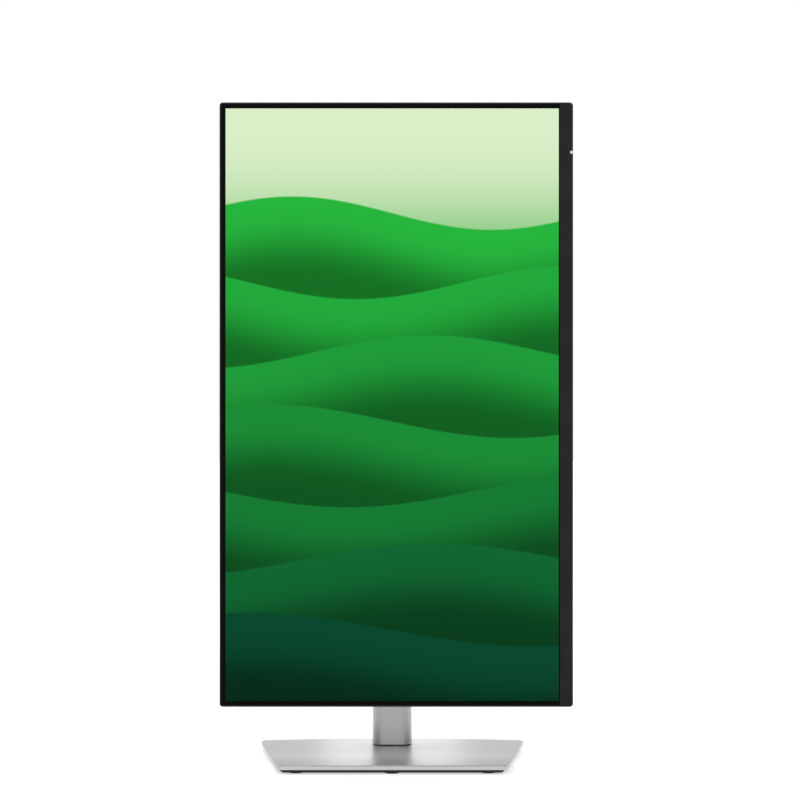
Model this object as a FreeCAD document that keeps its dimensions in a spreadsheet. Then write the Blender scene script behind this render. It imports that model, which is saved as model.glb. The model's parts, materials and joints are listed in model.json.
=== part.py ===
import FreeCAD, Part
import os
import re
import Sketcher
from FreeCAD import Placement, Rotation, Vector

# Computer monitor on a stand that turns, slides, tilts and pivots.
# Millimetres. The origin is on the desk at the swivel axis; +X is to the right
# seen from the front, the screen faces -Y and +Z is up. Pieces of the display
# are drawn in landscape about the pivot axis (x across, y back from the front
# face, z up) and are then turned as one into the portrait rest position.

DIMENSIONS = [
    ("active_w", 527.04),      # lit area of the screen
    ("active_h", 296.46),
    ("edge_gap", 5.38),        # dark edge on three sides of the lit area
    ("chin_h", 12.7),          # from the lit area to the outer edge at the chin
    ("corner_r", 3),
    ("frame_t", 1.3),          # wall of the middle frame
    ("frame_back", 13.2),      # depth where the middle frame meets the rear cover
    ("chin_t", 1.3),
    ("cover_t", 2.2),          # wall of the rear cover
    ("cover_back", 18),        # depth of the thin part of the rear cover
    ("bulge_back", 40.5),      # depth of the rear face of the cover's raised part
    ("bulge_half_w", 150),
    ("bulge_top", 75),
    ("bulge_low", 120),
    ("recess_half", 62),       # square recess for the stand's plate
    ("recess_depth", 4),
    ("well_half_w", 130),      # well for the cable sockets
    ("well_top", 78),
    ("well_low", 114),
    ("hole_pitch", 100),       # square pattern of M4 holes
    ("hole_r", 2.1),
    ("board_front", 16.6),     # depth of the front of both circuit boards
    ("board_t", 1.6),
    ("control_x", 224.6),      # power button, lamp and joystick
    ("stick_z", -138),
    ("front_y", -92),          # front face of the display
    ("pivot_z", 321),          # height of the pivot and tilt axes
    ("tilt_y", -40),
    ("plate_r", 58),
    ("plate_t", 3),
    ("column_w", 36),
    ("column_d", 44),
    ("column_r", 10),
    ("column_foot_z", 8.9),
    ("column_top", 353),
    ("wall", 2),               # wall of the column
    ("cable_z", 95),           # middle of the cable hole
    ("cable_w", 24),
    ("cable_h", 45),
    ("spring_z", 288),
    ("base_front_w", 201),
    ("base_rear_w", 245),
    ("base_front_y", -149),
    ("base_rear_y", 18),
    ("base_rear_r", 584),      # bow of the rear edge
    ("base_top", 8),
    ("base_cover_z", 4.1),     # lower edge of the metal top
]

doc = FreeCAD.newDocument("Monitor")
sheet = doc.addObject("Spreadsheet::Sheet", "Dims")
for row, (alias, number) in enumerate(DIMENSIONS, start=1):
    sheet.set(f"A{row}", alias)
    sheet.set(f"B{row}", str(number))
    sheet.setAlias(f"B{row}", alias)
doc.recompute()

ALIASES = {alias for alias, _ in DIMENSIONS}
NODES = {}

# Outline of the display and other lengths that follow from the sheet.
HALF_W = "(active_w / 2 + edge_gap)"
TOP = "(active_h / 2 + edge_gap)"
LOW = "(0 - active_h / 2 - chin_h)"
CHIN_TOP = "(0 - active_h / 2 - 1.05)"
RECESS_FLOOR = "(bulge_back - recess_depth)"
INNER_BACK = "(bulge_back - cover_t)"
PLATE_BACK = "(tilt_y - 12.45)"
HOLE = "(hole_pitch / 2)"
SIDES = (-1, 1)


def bound(text):
    """Give the expression with every dimension name pointing at the sheet."""
    return re.sub(r"[a-z]\w*", lambda m: "Dims." + m[0] if m[0] in ALIASES else m[0], str(text))


def value(text):
    """Work out an expression as a plain number."""
    return float(sheet.evalExpression(bound(f"0 + {text}")))


# ---------------------------------------------------------------- helpers

def bind(item, prop, text):
    item.setExpression(prop, bound(text))


def move(item, x, y, z):
    for axis, text in zip("xyz", (x, y, z)):
        bind(item, f"Placement.Base.{axis}", text)
    return item


def box(x0, x1, y0, y1, z0, z1):
    item = doc.addObject("Part::Box", "box")
    bind(item, "Length", f"({x1}) - ({x0})")
    bind(item, "Width", f"({y1}) - ({y0})")
    bind(item, "Height", f"({z1}) - ({z0})")
    return move(item, x0, y0, z0)


def rod(axis, x, y, z, radius, length):
    """Cylinder that starts at a point and runs along +X, +Y or +Z."""
    turns = {"x": Rotation(Vector(0, 1, 0), 90), "y": Rotation(Vector(1, 0, 0), -90), "z": Rotation()}
    item = doc.addObject("Part::Cylinder", "rod")
    item.Placement = Placement(Vector(), turns[axis])
    bind(item, "Radius", radius)
    bind(item, "Height", length)
    return move(item, x, y, z)


def hexagon(axis, x, y, z, radius, length):
    """Six-sided prism that starts at a point and runs along +X or +Z."""
    item = doc.addObject("Part::Prism", "hexagon")
    item.Polygon = 6
    turn = Rotation(Vector(0, 1, 0), 90) if axis == "x" else Rotation()
    item.Placement = Placement(Vector(), turn)
    bind(item, "Circumradius", radius)
    bind(item, "Height", length)
    return move(item, x, y, z)


def join(*shapes):
    item = doc.addObject("Part::MultiFuse", "join")
    item.Shapes = list(shapes)
    item.Refine = True
    return item


def cut(base, *tools):
    item = doc.addObject("Part::Cut", "cut")
    item.Base = base
    item.Tool = tools[0] if len(tools) == 1 else join(*tools)
    item.Refine = True
    return item


def group(*shapes):
    item = doc.addObject("Part::Compound", "group")
    item.Links = list(shapes)
    return item


def ring(axis, x, y, z, outer, inner, length):
    return cut(rod(axis, x, y, z, outer, length), rod(axis, x, y, z, inner, length))


def node(name, item, on_display=False):
    """Name a finished sub-part, and turn display pieces into the rest position."""
    if name in NODES:
        raise ValueError(f"{name} is used twice")
    item.Label = name
    if on_display:
        item.Placement = Placement(Vector(), Rotation(Vector(0, 1, 0), -90))
        move(item, 0, "front_y", "pivot_z")
    NODES[name] = item
    return item


def body(name):
    return doc.addObject("PartDesign::Body", name + "_body")


def sketch(owner, role, offset):
    """Empty sketch on one of the body's origin planes, moved along its positive axis."""
    item = owner.newObject("Sketcher::SketchObject", "profile")
    plane = next(f for f in owner.Origin.OriginFeatures if f.Role == role)
    item.AttachmentSupport = [(plane, "")]
    item.MapMode = "FlatFace"
    sign = "0 -" if role == "XZ_Plane" else "0 +"
    bind(item, "AttachmentOffset.Base.z", f"{sign} ({offset})")
    return item


def pin_corner(item, line, end, point):
    """Hold one corner of a sketch at a pair of bound distances from its origin."""
    for kind, text in zip(("DistanceX", "DistanceY"), point):
        index = item.addConstraint(Sketcher.Constraint(kind, line, end, value(text)))
        bind(item, f"Constraints[{index}]", f"0 + {text}")


def polygon(item, points):
    """Closed outline through bound points."""
    first = item.GeometryCount
    spots = [Vector(value(x), value(y), 0) for x, y in points]
    count = len(points)
    for i in range(count):
        item.addGeometry(Part.LineSegment(spots[i], spots[(i + 1) % count]), False)
    for i in range(count):
        item.addConstraint(Sketcher.Constraint("Coincident", first + i, 2, first + (i + 1) % count, 1))
        pin_corner(item, first + i, 1, points[i])
    return item


def rectangle(item, x0, x1, y0, y1):
    return polygon(item, [(x0, y0), (x1, y0), (x1, y1), (x0, y1)])


def circle(item, x, y, radius):
    middle = Vector(value(x), value(y), 0)
    index = item.addGeometry(Part.Circle(middle, Vector(0, 0, 1), value(radius)), False)
    pin_corner(item, index, 3, (x, y))
    size = item.addConstraint(Sketcher.Constraint("Radius", index, value(radius)))
    bind(item, f"Constraints[{size}]", f"0 + {radius}")
    return item


def pad(owner, profile, length):
    """Add material towards the positive axis of the sketch's plane."""
    item = owner.newObject("PartDesign::Pad", "pad")
    item.Profile = profile
    item.Reversed = profile.AttachmentSupport[0][0].Role == "XZ_Plane"
    bind(item, "Length", length)
    doc.recompute()
    return item


def pocket(owner, profile, length):
    """Cut away material towards the positive axis of the sketch's plane."""
    before = owner.Shape.Volume
    item = owner.newObject("PartDesign::Pocket", "pocket")
    item.Profile = profile
    item.Reversed = profile.AttachmentSupport[0][0].Role != "XZ_Plane"
    bind(item, "Length", length)
    doc.recompute()
    if owner.Shape.Volume >= before:
        raise ValueError(f"a pocket of {owner.Label} removed nothing")
    return item


def loft(owner, kind, near, far):
    item = owner.newObject(kind, "loft")
    item.Profile = near
    item.Sections = [far]
    item.Ruled = True
    doc.recompute()
    return item


def edges_where(owner, test):
    """Names of the body's edges whose middle and direction pass a test."""
    names = []
    for index, edge in enumerate(owner.Shape.Edges, start=1):
        middle = edge.valueAt((edge.FirstParameter + edge.LastParameter) / 2)
        way = edge.tangentAt((edge.FirstParameter + edge.LastParameter) / 2)
        if test(middle, way):
            names.append(f"Edge{index}")
    return names


def soften(owner, kind, size, test):
    """Fillet or chamfer the chosen edges of the body's newest feature."""
    names = edges_where(owner, test)
    tip = owner.Tip
    item = owner.newObject("PartDesign::" + kind, kind.lower())
    item.Base = (tip, names)
    bind(item, "Radius" if kind == "Fillet" else "Size", size)
    doc.recompute()
    if not names or not item.isValid():
        raise ValueError(f"{owner.Label}: {kind} {size} on {len(names)} edges failed")
    return item


def along(axis):
    """Test for edges that run along one axis."""
    return lambda middle, way: abs(getattr(way, axis)) > 0.99


def level(axis, text):
    """Test for edges whose middle lies at one level along an axis."""
    return lambda middle, way: abs(getattr(middle, axis) - value(text)) < 0.01


def sheet_solid(inset, depth, thickness, low):
    """Flat layer of the screen stack, inset from the display's outline."""
    return box(f"0 - {HALF_W} + {inset}", f"{HALF_W} - {inset}", depth, f"{depth} + {thickness}",
               low, f"{TOP} - {inset}")


# ---------------------------------------------------------------- display: screen stack

def middle_frame():
    owner = body("middle_frame")
    pad(owner, rectangle(sketch(owner, "XZ_Plane", 0), f"0 - {HALF_W}", HALF_W, LOW, TOP), "frame_back")
    soften(owner, "Fillet", "corner_r", along("y"))
    inner = sketch(owner, "XZ_Plane", 0)
    rectangle(inner, f"0 - {HALF_W} + frame_t", f"{HALF_W} - frame_t",
              f"{LOW} + frame_t", f"{TOP} - frame_t")
    pocket(owner, inner, "frame_back")
    chin = sketch(owner, "XZ_Plane", 0)
    rectangle(chin, f"0 - {HALF_W} - 1", f"{HALF_W} + 1", f"{LOW} - 1", CHIN_TOP)
    pocket(owner, chin, "chin_t + 0.02")
    pad(owner, shelf_outline(sketch(owner, "XZ_Plane", 7.1)), 1)
    button = sketch(owner, "XZ_Plane", 5.95)
    rectangle(button, "control_x - 6.05", "control_x + 6.05", f"{LOW} - 1", f"{LOW} + frame_t + 1")
    pocket(owner, button, 4.1)
    node("middle_frame", owner, True)


def shelf_outline(item):
    """U-shaped ledge that carries the screen stack on three sides."""
    outer = f"({HALF_W} - frame_t)"
    inner = f"({HALF_W} - 5)"
    foot = f"{LOW} + 14"
    return polygon(item, [
        (f"0 - {outer}", foot), (f"0 - {inner}", foot), (f"0 - {inner}", f"{TOP} - 5"),
        (inner, f"{TOP} - 5"), (inner, foot), (outer, foot),
        (outer, f"{TOP} - frame_t"), (f"0 - {outer}", f"{TOP} - frame_t")])


def chin_strip():
    owner = body("chin_strip")
    pad(owner, rectangle(sketch(owner, "XZ_Plane", 0), f"0 - {HALF_W}", HALF_W, LOW, CHIN_TOP), "chin_t")
    low_corner = value(LOW)
    soften(owner, "Fillet", "corner_r", lambda middle, way: abs(way.y) > 0.99
           and abs(middle.z - low_corner) < 0.01)
    notch = sketch(owner, "XZ_Plane", 0)
    rectangle(notch, "control_x - 1.3", "control_x + 1.3", f"{LOW} + 0.3", f"{LOW} + 2.6")
    pocket(owner, notch, "chin_t")
    node("chin_strip", owner, True)


def led_lens():
    """Clear light guide from the lamp on the control board to the chin's corner."""
    face = box("control_x - 1.25", "control_x + 1.25", 0, 1.25, f"{LOW} + 0.35", f"{LOW} + 2.55")
    stem = box("control_x - 0.6", "control_x + 0.6", 1.25, 3, f"{LOW} + 1.4", f"{LOW} + 2.5")
    arm = box("control_x - 0.6", "control_x + 11.6", 2, 3, f"{LOW} + 1.4", f"{LOW} + 2.5")
    rear = box("control_x + 10.4", "control_x + 11.6", 2, 7, f"{LOW} + 1.4", f"{LOW} + 2.5")
    node("led_lens", join(face, stem, arm, rear), True)


def screen_stack():
    node("lcd_cell", group(sheet_solid("(frame_t + 0.1)", 0.25, 1.2, "0 - active_h / 2 - 1")), True)
    films = [sheet_solid("(frame_t + 1.4)", depth, 0.25, "0 - active_h / 2 - 0.7")
             for depth in (1.7, 2, 2.3)]
    node("optical_films", group(*films), True)
    guide = sheet_solid("(frame_t + 1.4)", 2.7, 3, "0 - active_h / 2 - 2.7")
    node("light_guide_plate", group(guide), True)
    reflector = sheet_solid("(frame_t + 1.4)", 5.8, 0.25, "0 - active_h / 2 - 2.7")
    node("reflector_sheet", group(reflector), True)


def led_bar():
    strip = box(-262, 262, 2.8, 5.6, "0 - active_h / 2 - 4.8", "0 - active_h / 2 - 4")
    lamps = [box(x - 1.75, x + 1.75, 3.2, 5.2, "0 - active_h / 2 - 4", "0 - active_h / 2 - 2.9")
             for x in range(-253, 254, 11)]
    node("led_bar", join(strip, *lamps), True)


def panel_chassis():
    owner = body("panel_chassis")
    low = "(0 - active_h / 2 - 7.2)"
    edge = f"({HALF_W} - 1.6)"
    pad(owner, rectangle(sketch(owner, "XZ_Plane", 6.2), f"0 - {edge}", edge, low, f"{TOP} - 1.6"), 0.8)
    rim = rectangle(sketch(owner, "XZ_Plane", 2.7), f"0 - {edge}", edge, low, f"{TOP} - 1.6")
    rectangle(rim, f"0 - {edge} + 0.8", f"{edge} - 0.8", f"{low} + 0.8", f"{TOP} - 2.4")
    pad(owner, rim, 3.5)
    beads = sketch(owner, "XZ_Plane", 7)
    for x in (-235, -195, 195, 235):
        rectangle(beads, x - 3, x + 3, -90, 60)
    for z in (112, 130):
        rectangle(beads, -180, 180, z - 3, z + 3)
    pad(owner, beads, 0.6)
    posts = sketch(owner, "XZ_Plane", 7)
    for x, z in cover_screw_spots():
        circle(posts, x, z, 3.5)
        circle(posts, x, z, 1.25)
    pad(owner, posts, "cover_back - cover_t - 7.05")
    cable_gap = rectangle(sketch(owner, "XZ_Plane", 2.7), -61, -53, f"{low} - 1", f"{low} + 1.5")
    pocket(owner, cable_gap, 4.3)
    switch_gap = sketch(owner, "XZ_Plane", 6.2)
    rectangle(switch_gap, "control_x - 4", "control_x + 4", f"{low} - 1", f"{low} + 9.5")
    pocket(owner, switch_gap, 0.8)
    node("panel_chassis", owner, True)


def cover_screw_spots():
    return [(x, z) for x in (-215, 215) for z in (-105, 90)]


def cell_flexes():
    """Three flat tails that carry the picture round the edge to the driver board."""
    tails = []
    low = "(0 - active_h / 2 - 8.8)"
    for x in (-150, 0, 150):
        front = box(x - 20, x + 20, 1.47, 1.62, low, "0 - active_h / 2 + 1.7")
        foot = box(x - 20, x + 20, 1.47, 8.6, low, f"{low} + 0.15")
        back = box(x - 20, x + 20, 8.45, 8.6, low, f"{low} + 10")
        tails.append(join(front, foot, back))
    node("cell_flexes", group(*tails), True)


def panel_driver_board():
    plate = box(-190, 190, 8.62, 9.8, "0 - active_h / 2 - 2", "0 - active_h / 2 + 18")
    chips = [box(x - 5, x + 5, 9.8, 11, -142, -134) for x in (-160, -110, 60, 110, 160)]
    socket = box(15, 40, 9.8, 12, -137.5, -132.5)
    node("panel_driver_board", join(plate, socket, *chips), True)


# ---------------------------------------------------------------- display: electronics

SOCKETS = [                    # x of the middle, width, height of each cable socket
    (13, 15.2, 5.6),
    (32, 16.2, 5.2),
    (48, 9, 3.3),
    (63, 13.2, 5.8),
    (80, 13.2, 5.8),
]
INLET = (-108, 27.6, 19.8)


def port_connectors():
    """Screened sockets on the main board, open towards the cable well."""
    shells = []
    low = "(0 - well_top + 0.5)"
    floor_y = "(board_front + board_t + 0.35)"
    for x, width, height in SOCKETS:
        shell = box(x - width / 2, x + width / 2, floor_y, f"{floor_y} + {height}", low, f"{low} + 14")
        mouth = box(x - width / 2 + 0.6, x + width / 2 - 0.6, f"{floor_y} + 0.6",
                    f"{floor_y} + {height - 0.6}", f"{low} - 1", f"{low} + 11")
        tongue = box(x - width / 2 + 2, x + width / 2 - 2, f"{floor_y} + {height / 2 - 0.5}",
                     f"{floor_y} + {height / 2 + 0.5}", f"{low} + 1.5", f"{low} + 12")
        legs = box(x - 3, x + 3, "board_front + board_t", f"{floor_y} + 0.3", f"{low} + 8", f"{low} + 13")
        shells.append(join(cut(shell, mouth), tongue, legs))
    node("port_connectors", group(*shells), True)


def ac_inlet():
    """Mains inlet with three blades."""
    x, width, height = INLET
    low = "(0 - well_top + 0.5)"
    y0 = "(cover_back + 0.4)"
    block = box(x - width / 2, x + width / 2, y0, f"{y0} + {height}", low, f"{low} + 20")
    mouth = box(x - width / 2 + 1.8, x + width / 2 - 1.8, f"{y0} + 1.8", f"{y0} + {height - 1.8}",
                f"{low} - 1", f"{low} + 16")
    blades = [box(x + dx - 1, x + dx + 1, f"{y0} + {dy - 2}", f"{y0} + {dy + 2}",
                  f"{low} + 3", f"{low} + 17")
              for dx, dy in ((-7, 8.4), (0, 12.4), (7, 8.4))]
    node("ac_inlet", join(cut(block, mouth), *blades), True)


BOARD_SCREW_SPOTS = [(x, z) for x in (-86, -8, 8, 86) for z in (-56, 28)]


def drilled(board):
    """Cut the holes for the fixing screws of the circuit boards."""
    holes = [rod("y", x, "board_front - 1", z, 1.3, "board_t + 2") for x, z in BOARD_SCREW_SPOTS]
    return cut(board, *holes)


def main_board():
    y0 = "(board_front + board_t)"
    plate = box(3, 91, "board_front", y0, -72, 34)
    chips = [box(x, x + w, y0, f"{y0} + {t}", z, z + d)
             for x, z, w, d, t in ((30, -18, 22, 22, 2), (60, -30, 12, 9, 1.2),
                                   (12, 8, 9, 6, 1.2), (62, 12, 8, 8, 3))]
    cooler = [box(31 + 3 * i, 32.5 + 3 * i, f"{y0} + 2", f"{y0} + 9", -17, 3) for i in range(7)]
    cans = [rod("y", x, y0, z, 3, 7) for x, z in ((16, -34), (24, -34), (72, -10), (80, -10))]
    node("main_board", join(drilled(plate), *chips, *cooler, *cans), True)


def power_board():
    y0 = "(board_front + board_t)"
    plate = box(-91, -3, "board_front", y0, -70, 40)
    transformer = box(-62, -34, y0, f"{y0} + 12", -22, 6)
    yoke = box(-66, -30, f"{y0} + 3", f"{y0} + 9", -16, 0)
    big_can = rod("y", -72, y0, 20, 8, 13)
    cans = [rod("y", x, y0, z, 4, 11) for x, z in ((-20, 0), (-20, -12), (-20, -24))]
    filter_coil = cut(rod("y", -76, y0, -48, 8, 8), rod("y", -76, f"{y0} + 1", -48, 3.5, 8))
    sinks = [box(x, x + 2, y0, f"{y0} + 12", 14, 34) for x in (-52, -36)]
    node("power_board", join(drilled(plate), transformer, yoke, big_can, filter_coil, *cans, *sinks), True)


def inlet_leads():
    """Three insulated wires from the mains inlet to the power board."""
    wires = []
    for i in range(3):
        x = -114 + 5 * i
        z = -52 + 4 * i
        rise = rod("z", x, 27, "0 - well_top + 20.5", 0.9, f"{z} + well_top - 20.5")
        run = rod("x", x, 27, z, 0.9, -88 - x)
        drop = rod("y", -88, "board_front + board_t", z, 0.9, "27 - board_front - board_t")
        knee = sphere_at(x, 27, z, 0.9)
        elbow = sphere_at(-88, 27, z, 0.9)
        wires.append(join(rise, run, drop, knee, elbow))
    node("inlet_leads", group(*wires), True)


def sphere_at(x, y, z, radius):
    item = doc.addObject("Part::Sphere", "ball")
    bind(item, "Radius", radius)
    return move(item, x, y, z)


def board_standoffs():
    posts = [ring("y", x, 7, z, 3, 1.25, "board_front - 7") for x, z in BOARD_SCREW_SPOTS]
    node("board_standoffs", group(*posts), True)
    screws = [pan_screw(x, "board_front + board_t", z, 8) for x, z in BOARD_SCREW_SPOTS]
    screws += [pan_screw(x, 8, z, 0.95) for x in (-98, 98) for z in (-50, 45)]
    node("board_screws", group(*screws), True)


def pan_screw(x, y, z, length):
    """Small pan-head screw driven forwards, its head seated at depth y."""
    head = rod("y", x, y, z, 2.6, 1.7)
    slot_a = box(x - 1.6, x + 1.6, f"{y} + 0.9", f"{y} + 1.8", z - 0.3, z + 0.3)
    slot_b = box(x - 0.3, x + 0.3, f"{y} + 0.9", f"{y} + 1.8", z - 1.6, z + 1.6)
    shank = rod("y", x, f"{y} - {length}", z, 1.2, f"{length} + 0.1")
    return join(cut(head, slot_a, slot_b), shank)


def board_shield():
    """Folded steel box over the boards; it also carries the threaded nuts."""
    owner = body("board_shield")
    y1 = f"({INNER_BACK} - 4.3)"
    pad(owner, rectangle(sketch(owner, "XZ_Plane", f"{y1} - 1"), -94, 94, -74, 62), 1)
    walls = sketch(owner, "XZ_Plane", 7)
    polygon(walls, [(-94, -74), (-93, -74), (-93, 61), (93, 61), (93, -74), (94, -74), (94, 62), (-94, 62)])
    pad(owner, walls, f"{y1} - 7")
    flanges = sketch(owner, "XZ_Plane", 7)
    for side in SIDES:
        inner, outer = sorted((94 * side, 103 * side))
        rectangle(flanges, inner, outer, -62, 55)
    pad(owner, flanges, 1)
    openings = sketch(owner, "XZ_Plane", f"{y1} - 1")
    for x in SIDES:
        for z in SIDES:
            circle(openings, f"{x} * {HOLE}", f"{z} * {HOLE}", "hole_r")
    circle(openings, 0, 0, 14)
    rectangle(openings, -17, 17, -75, -45)
    for side in SIDES:
        rectangle(openings, side * 35 - 5, side * 35 + 5, 34, 42)
    for i in range(8):
        for side in SIDES:
            rectangle(openings, side * 76 - 8, side * 76 + 8, -30 + 9 * i, -26 + 9 * i)
    pocket(owner, openings, 1)
    holes = sketch(owner, "XZ_Plane", 7)
    for x in (-98, 98):
        for z in (-50, 45):
            circle(holes, x, z, 1.3)
    pocket(owner, holes, 1)
    lead_gap = rectangle(sketch(owner, "YZ_Plane", -94.5), 24, 30, -58, -40)
    pocket(owner, lead_gap, 2)
    node("board_shield", owner, True)


def vesa_nuts():
    y1 = f"({INNER_BACK} - 5.3)"
    nuts = [ring("y", f"{x} * {HOLE}", f"{y1} - 5", f"{z} * {HOLE}", 4, "hole_r", 5)
            for x in SIDES for z in SIDES]
    node("vesa_nuts", group(*nuts), True)


def cables():
    low = "(0 - active_h / 2 - 7.9)"
    ribbon = join(box(18, 37, 12.8, 13.2, -137, -52), box(18, 37, 12.8, "board_front", -52.4, -52),
                  box(18, 37, 12, 13.2, -137, -136.6))
    node("video_cable", ribbon, True)
    run = join(box(-60, -54, 13, 13.6, low, -50), box(-60, -54, 13, "board_front", -50.6, -50),
               box(-60, -54, 4, 13.6, low, f"{low} + 0.6"),
               box(-60, -54, 4, 4.6, low, "0 - active_h / 2 - 4.8"))
    node("led_cable", run, True)


# ---------------------------------------------------------------- display: rear cover

def rear_cover():
    owner = body("rear_cover")
    edge = f"({HALF_W} - 0.4)"
    face = sketch(owner, "XZ_Plane", "frame_back")
    rectangle(face, f"0 - {edge}", edge, f"{LOW} + 0.4", f"{TOP} - 0.4")
    pad(owner, face, "cover_back - frame_back")
    soften(owner, "Fillet", "corner_r", along("y"))
    soften(owner, "Fillet", 2.6, level("y", "cover_back"))
    raised_part(owner)
    hollow(owner)
    inner_walls(owner)
    rear_openings(owner)
    node("rear_cover", owner, True)


def raised_part(owner):
    """Sloped bulge that holds the boards."""
    near = rectangle(sketch(owner, "XZ_Plane", "cover_back - 1"), "0 - bulge_half_w - 38",
                     "bulge_half_w + 38", "0 - bulge_low - 22", "bulge_top + 28")
    far = rectangle(sketch(owner, "XZ_Plane", "bulge_back"), "0 - bulge_half_w", "bulge_half_w",
                    "0 - bulge_low", "bulge_top")
    loft(owner, "PartDesign::AdditiveLoft", near, far)
    soften(owner, "Fillet", 16, lambda middle, way: 0.3 < abs(way.y) < 0.9)
    soften(owner, "Fillet", 5, level("y", "bulge_back"))


def hollow(owner):
    """Empty the cover from the front, leaving an even wall."""
    thin = sketch(owner, "XZ_Plane", "frame_back")
    rectangle(thin, f"0 - {HALF_W} + 2.6", f"{HALF_W} - 2.6", f"{LOW} + 2.6", f"{TOP} - 2.6")
    pocket(owner, thin, "cover_back - cover_t - frame_back")
    near = rectangle(sketch(owner, "XZ_Plane", "cover_back - cover_t"), "0 - bulge_half_w - 34",
                     "bulge_half_w + 34", "0 - bulge_low - 19", "bulge_top + 24")
    far = rectangle(sketch(owner, "XZ_Plane", INNER_BACK), "0 - bulge_half_w + 3.5", "bulge_half_w - 3.5",
                    "0 - bulge_low + 3.5", "bulge_top - 3.5")
    loft(owner, "PartDesign::SubtractiveLoft", near, far)
    soften(owner, "Fillet", 12, lambda middle, way: 0.3 < abs(way.y) < 0.9
           and middle.y < value(INNER_BACK) - 3 and abs(middle.x) < value("bulge_half_w + 20")
           and edge_is_inside(middle))


def edge_is_inside(middle):
    """Tell the cavity's slanted corners from the bulge's outer ones."""
    share = (middle.y - value("cover_back - 1")) / value("bulge_back - cover_back + 1")
    return abs(middle.x) < value("bulge_half_w + 38") - 38 * share - 1 and abs(middle.z) < 145


def inner_walls(owner):
    """Walls of the plate recess and of the cable well, seen from inside."""
    recess = "(recess_half + cover_t)"
    plate = sketch(owner, "XZ_Plane", f"{RECESS_FLOOR} - cover_t")
    rectangle(plate, f"0 - {recess}", recess, f"0 - {recess}", recess)
    pad(owner, plate, f"{INNER_BACK} - {RECESS_FLOOR} + cover_t + 0.5")
    well = sketch(owner, "XZ_Plane", "cover_back - cover_t")
    rectangle(well, "0 - well_half_w - cover_t", "well_half_w + cover_t",
              "0 - well_low - cover_t", "0 - well_top + cover_t")
    pad(owner, well, f"{INNER_BACK} - cover_back + cover_t + 0.5")


def rear_openings(owner):
    recess = sketch(owner, "XZ_Plane", RECESS_FLOOR)
    rectangle(recess, "0 - recess_half", "recess_half", "0 - recess_half", "recess_half")
    pocket(owner, recess, "recess_depth + 1")
    well = sketch(owner, "XZ_Plane", "cover_back")
    rectangle(well, "0 - well_half_w", "well_half_w", "0 - well_low", "0 - well_top")
    pocket(owner, well, "bulge_back - cover_back + 1")
    soften(owner, "Fillet", 6, lambda middle, way: abs(way.y) > 0.99 and in_recess_corner(middle))
    through = sketch(owner, "XZ_Plane", f"{RECESS_FLOOR} - cover_t - 1")
    for x in SIDES:
        for z in SIDES:
            circle(through, f"{x} * {HOLE}", f"{z} * {HOLE}", "hole_r")
    circle(through, 0, 0, 12.5)
    rectangle(through, -10.05, 10.05, -60.5, -48.5)
    for side in SIDES:
        rectangle(through, side * 35 - 4.1, side * 35 + 4.1, 34.9, 41.1)
    pocket(owner, through, "cover_t + 2")
    button = rectangle(sketch(owner, "XZ_Plane", f"{INNER_BACK} - 2"), -10.05, 10.05, -74.05, -65.95)
    pocket(owner, button, "cover_t + 3")
    socket_openings(owner)
    thin_openings(owner)
    vents(owner)


def in_recess_corner(middle):
    """Test for the corner edges of the recess and of the cable well."""
    flat = (abs(middle.x), middle.z)
    corners = [("recess_half", "recess_half"), ("recess_half", "0 - recess_half"),
               ("well_half_w", "0 - well_top"), ("well_half_w", "0 - well_low")]
    return any(abs(flat[0] - value(x)) < 0.01 and abs(flat[1] - value(z)) < 0.01 for x, z in corners)


def socket_openings(owner):
    """One opening in the well's upper wall for each cable socket."""
    item = sketch(owner, "XY_Plane", "0 - well_top - 0.5")
    y0 = "(board_front + board_t + 0.35)"
    for x, width, height in SOCKETS:
        rectangle(item, x - width / 2 - 0.3, x + width / 2 + 0.3, f"{y0} - 0.3", f"{y0} + {height} + 0.3")
    x, width, height = INLET
    rectangle(item, x - width / 2 - 0.2, x + width / 2 + 0.2,
              "cover_back + 0.2", f"cover_back + {height} + 0.6")
    pocket(owner, item, "cover_t + 1")


def thin_openings(owner):
    """Joystick hole, lock slot and seated screw holes in the thin part."""
    item = sketch(owner, "XZ_Plane", "cover_back - cover_t - 0.5")
    circle(item, "control_x", "stick_z", 7)
    rectangle(item, -208.5, -201.5, -126.5, -123.5)
    for x, z in cover_screw_spots():
        circle(item, x, z, 1.4)
    pocket(owner, item, "cover_t + 1")
    seats = sketch(owner, "XZ_Plane", "cover_back - 1.2")
    for x, z in cover_screw_spots():
        circle(seats, x, z, 3)
    pocket(owner, seats, 2)


def vents(owner):
    item = sketch(owner, "XZ_Plane", f"{INNER_BACK} - 0.5")
    for side in SIDES:
        for i in range(13):
            z = -32 + 6 * i
            rectangle(item, side * 106 - 28, side * 106 + 28, z, z + 2.2)
    pocket(owner, item, "cover_t + 1")


def cover_screws():
    screws = [pan_screw(x, "(cover_back - 1.2)", z, 6) for x, z in cover_screw_spots()]
    node("cover_screws", group(*screws), True)


# ---------------------------------------------------------------- display: controls

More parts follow.
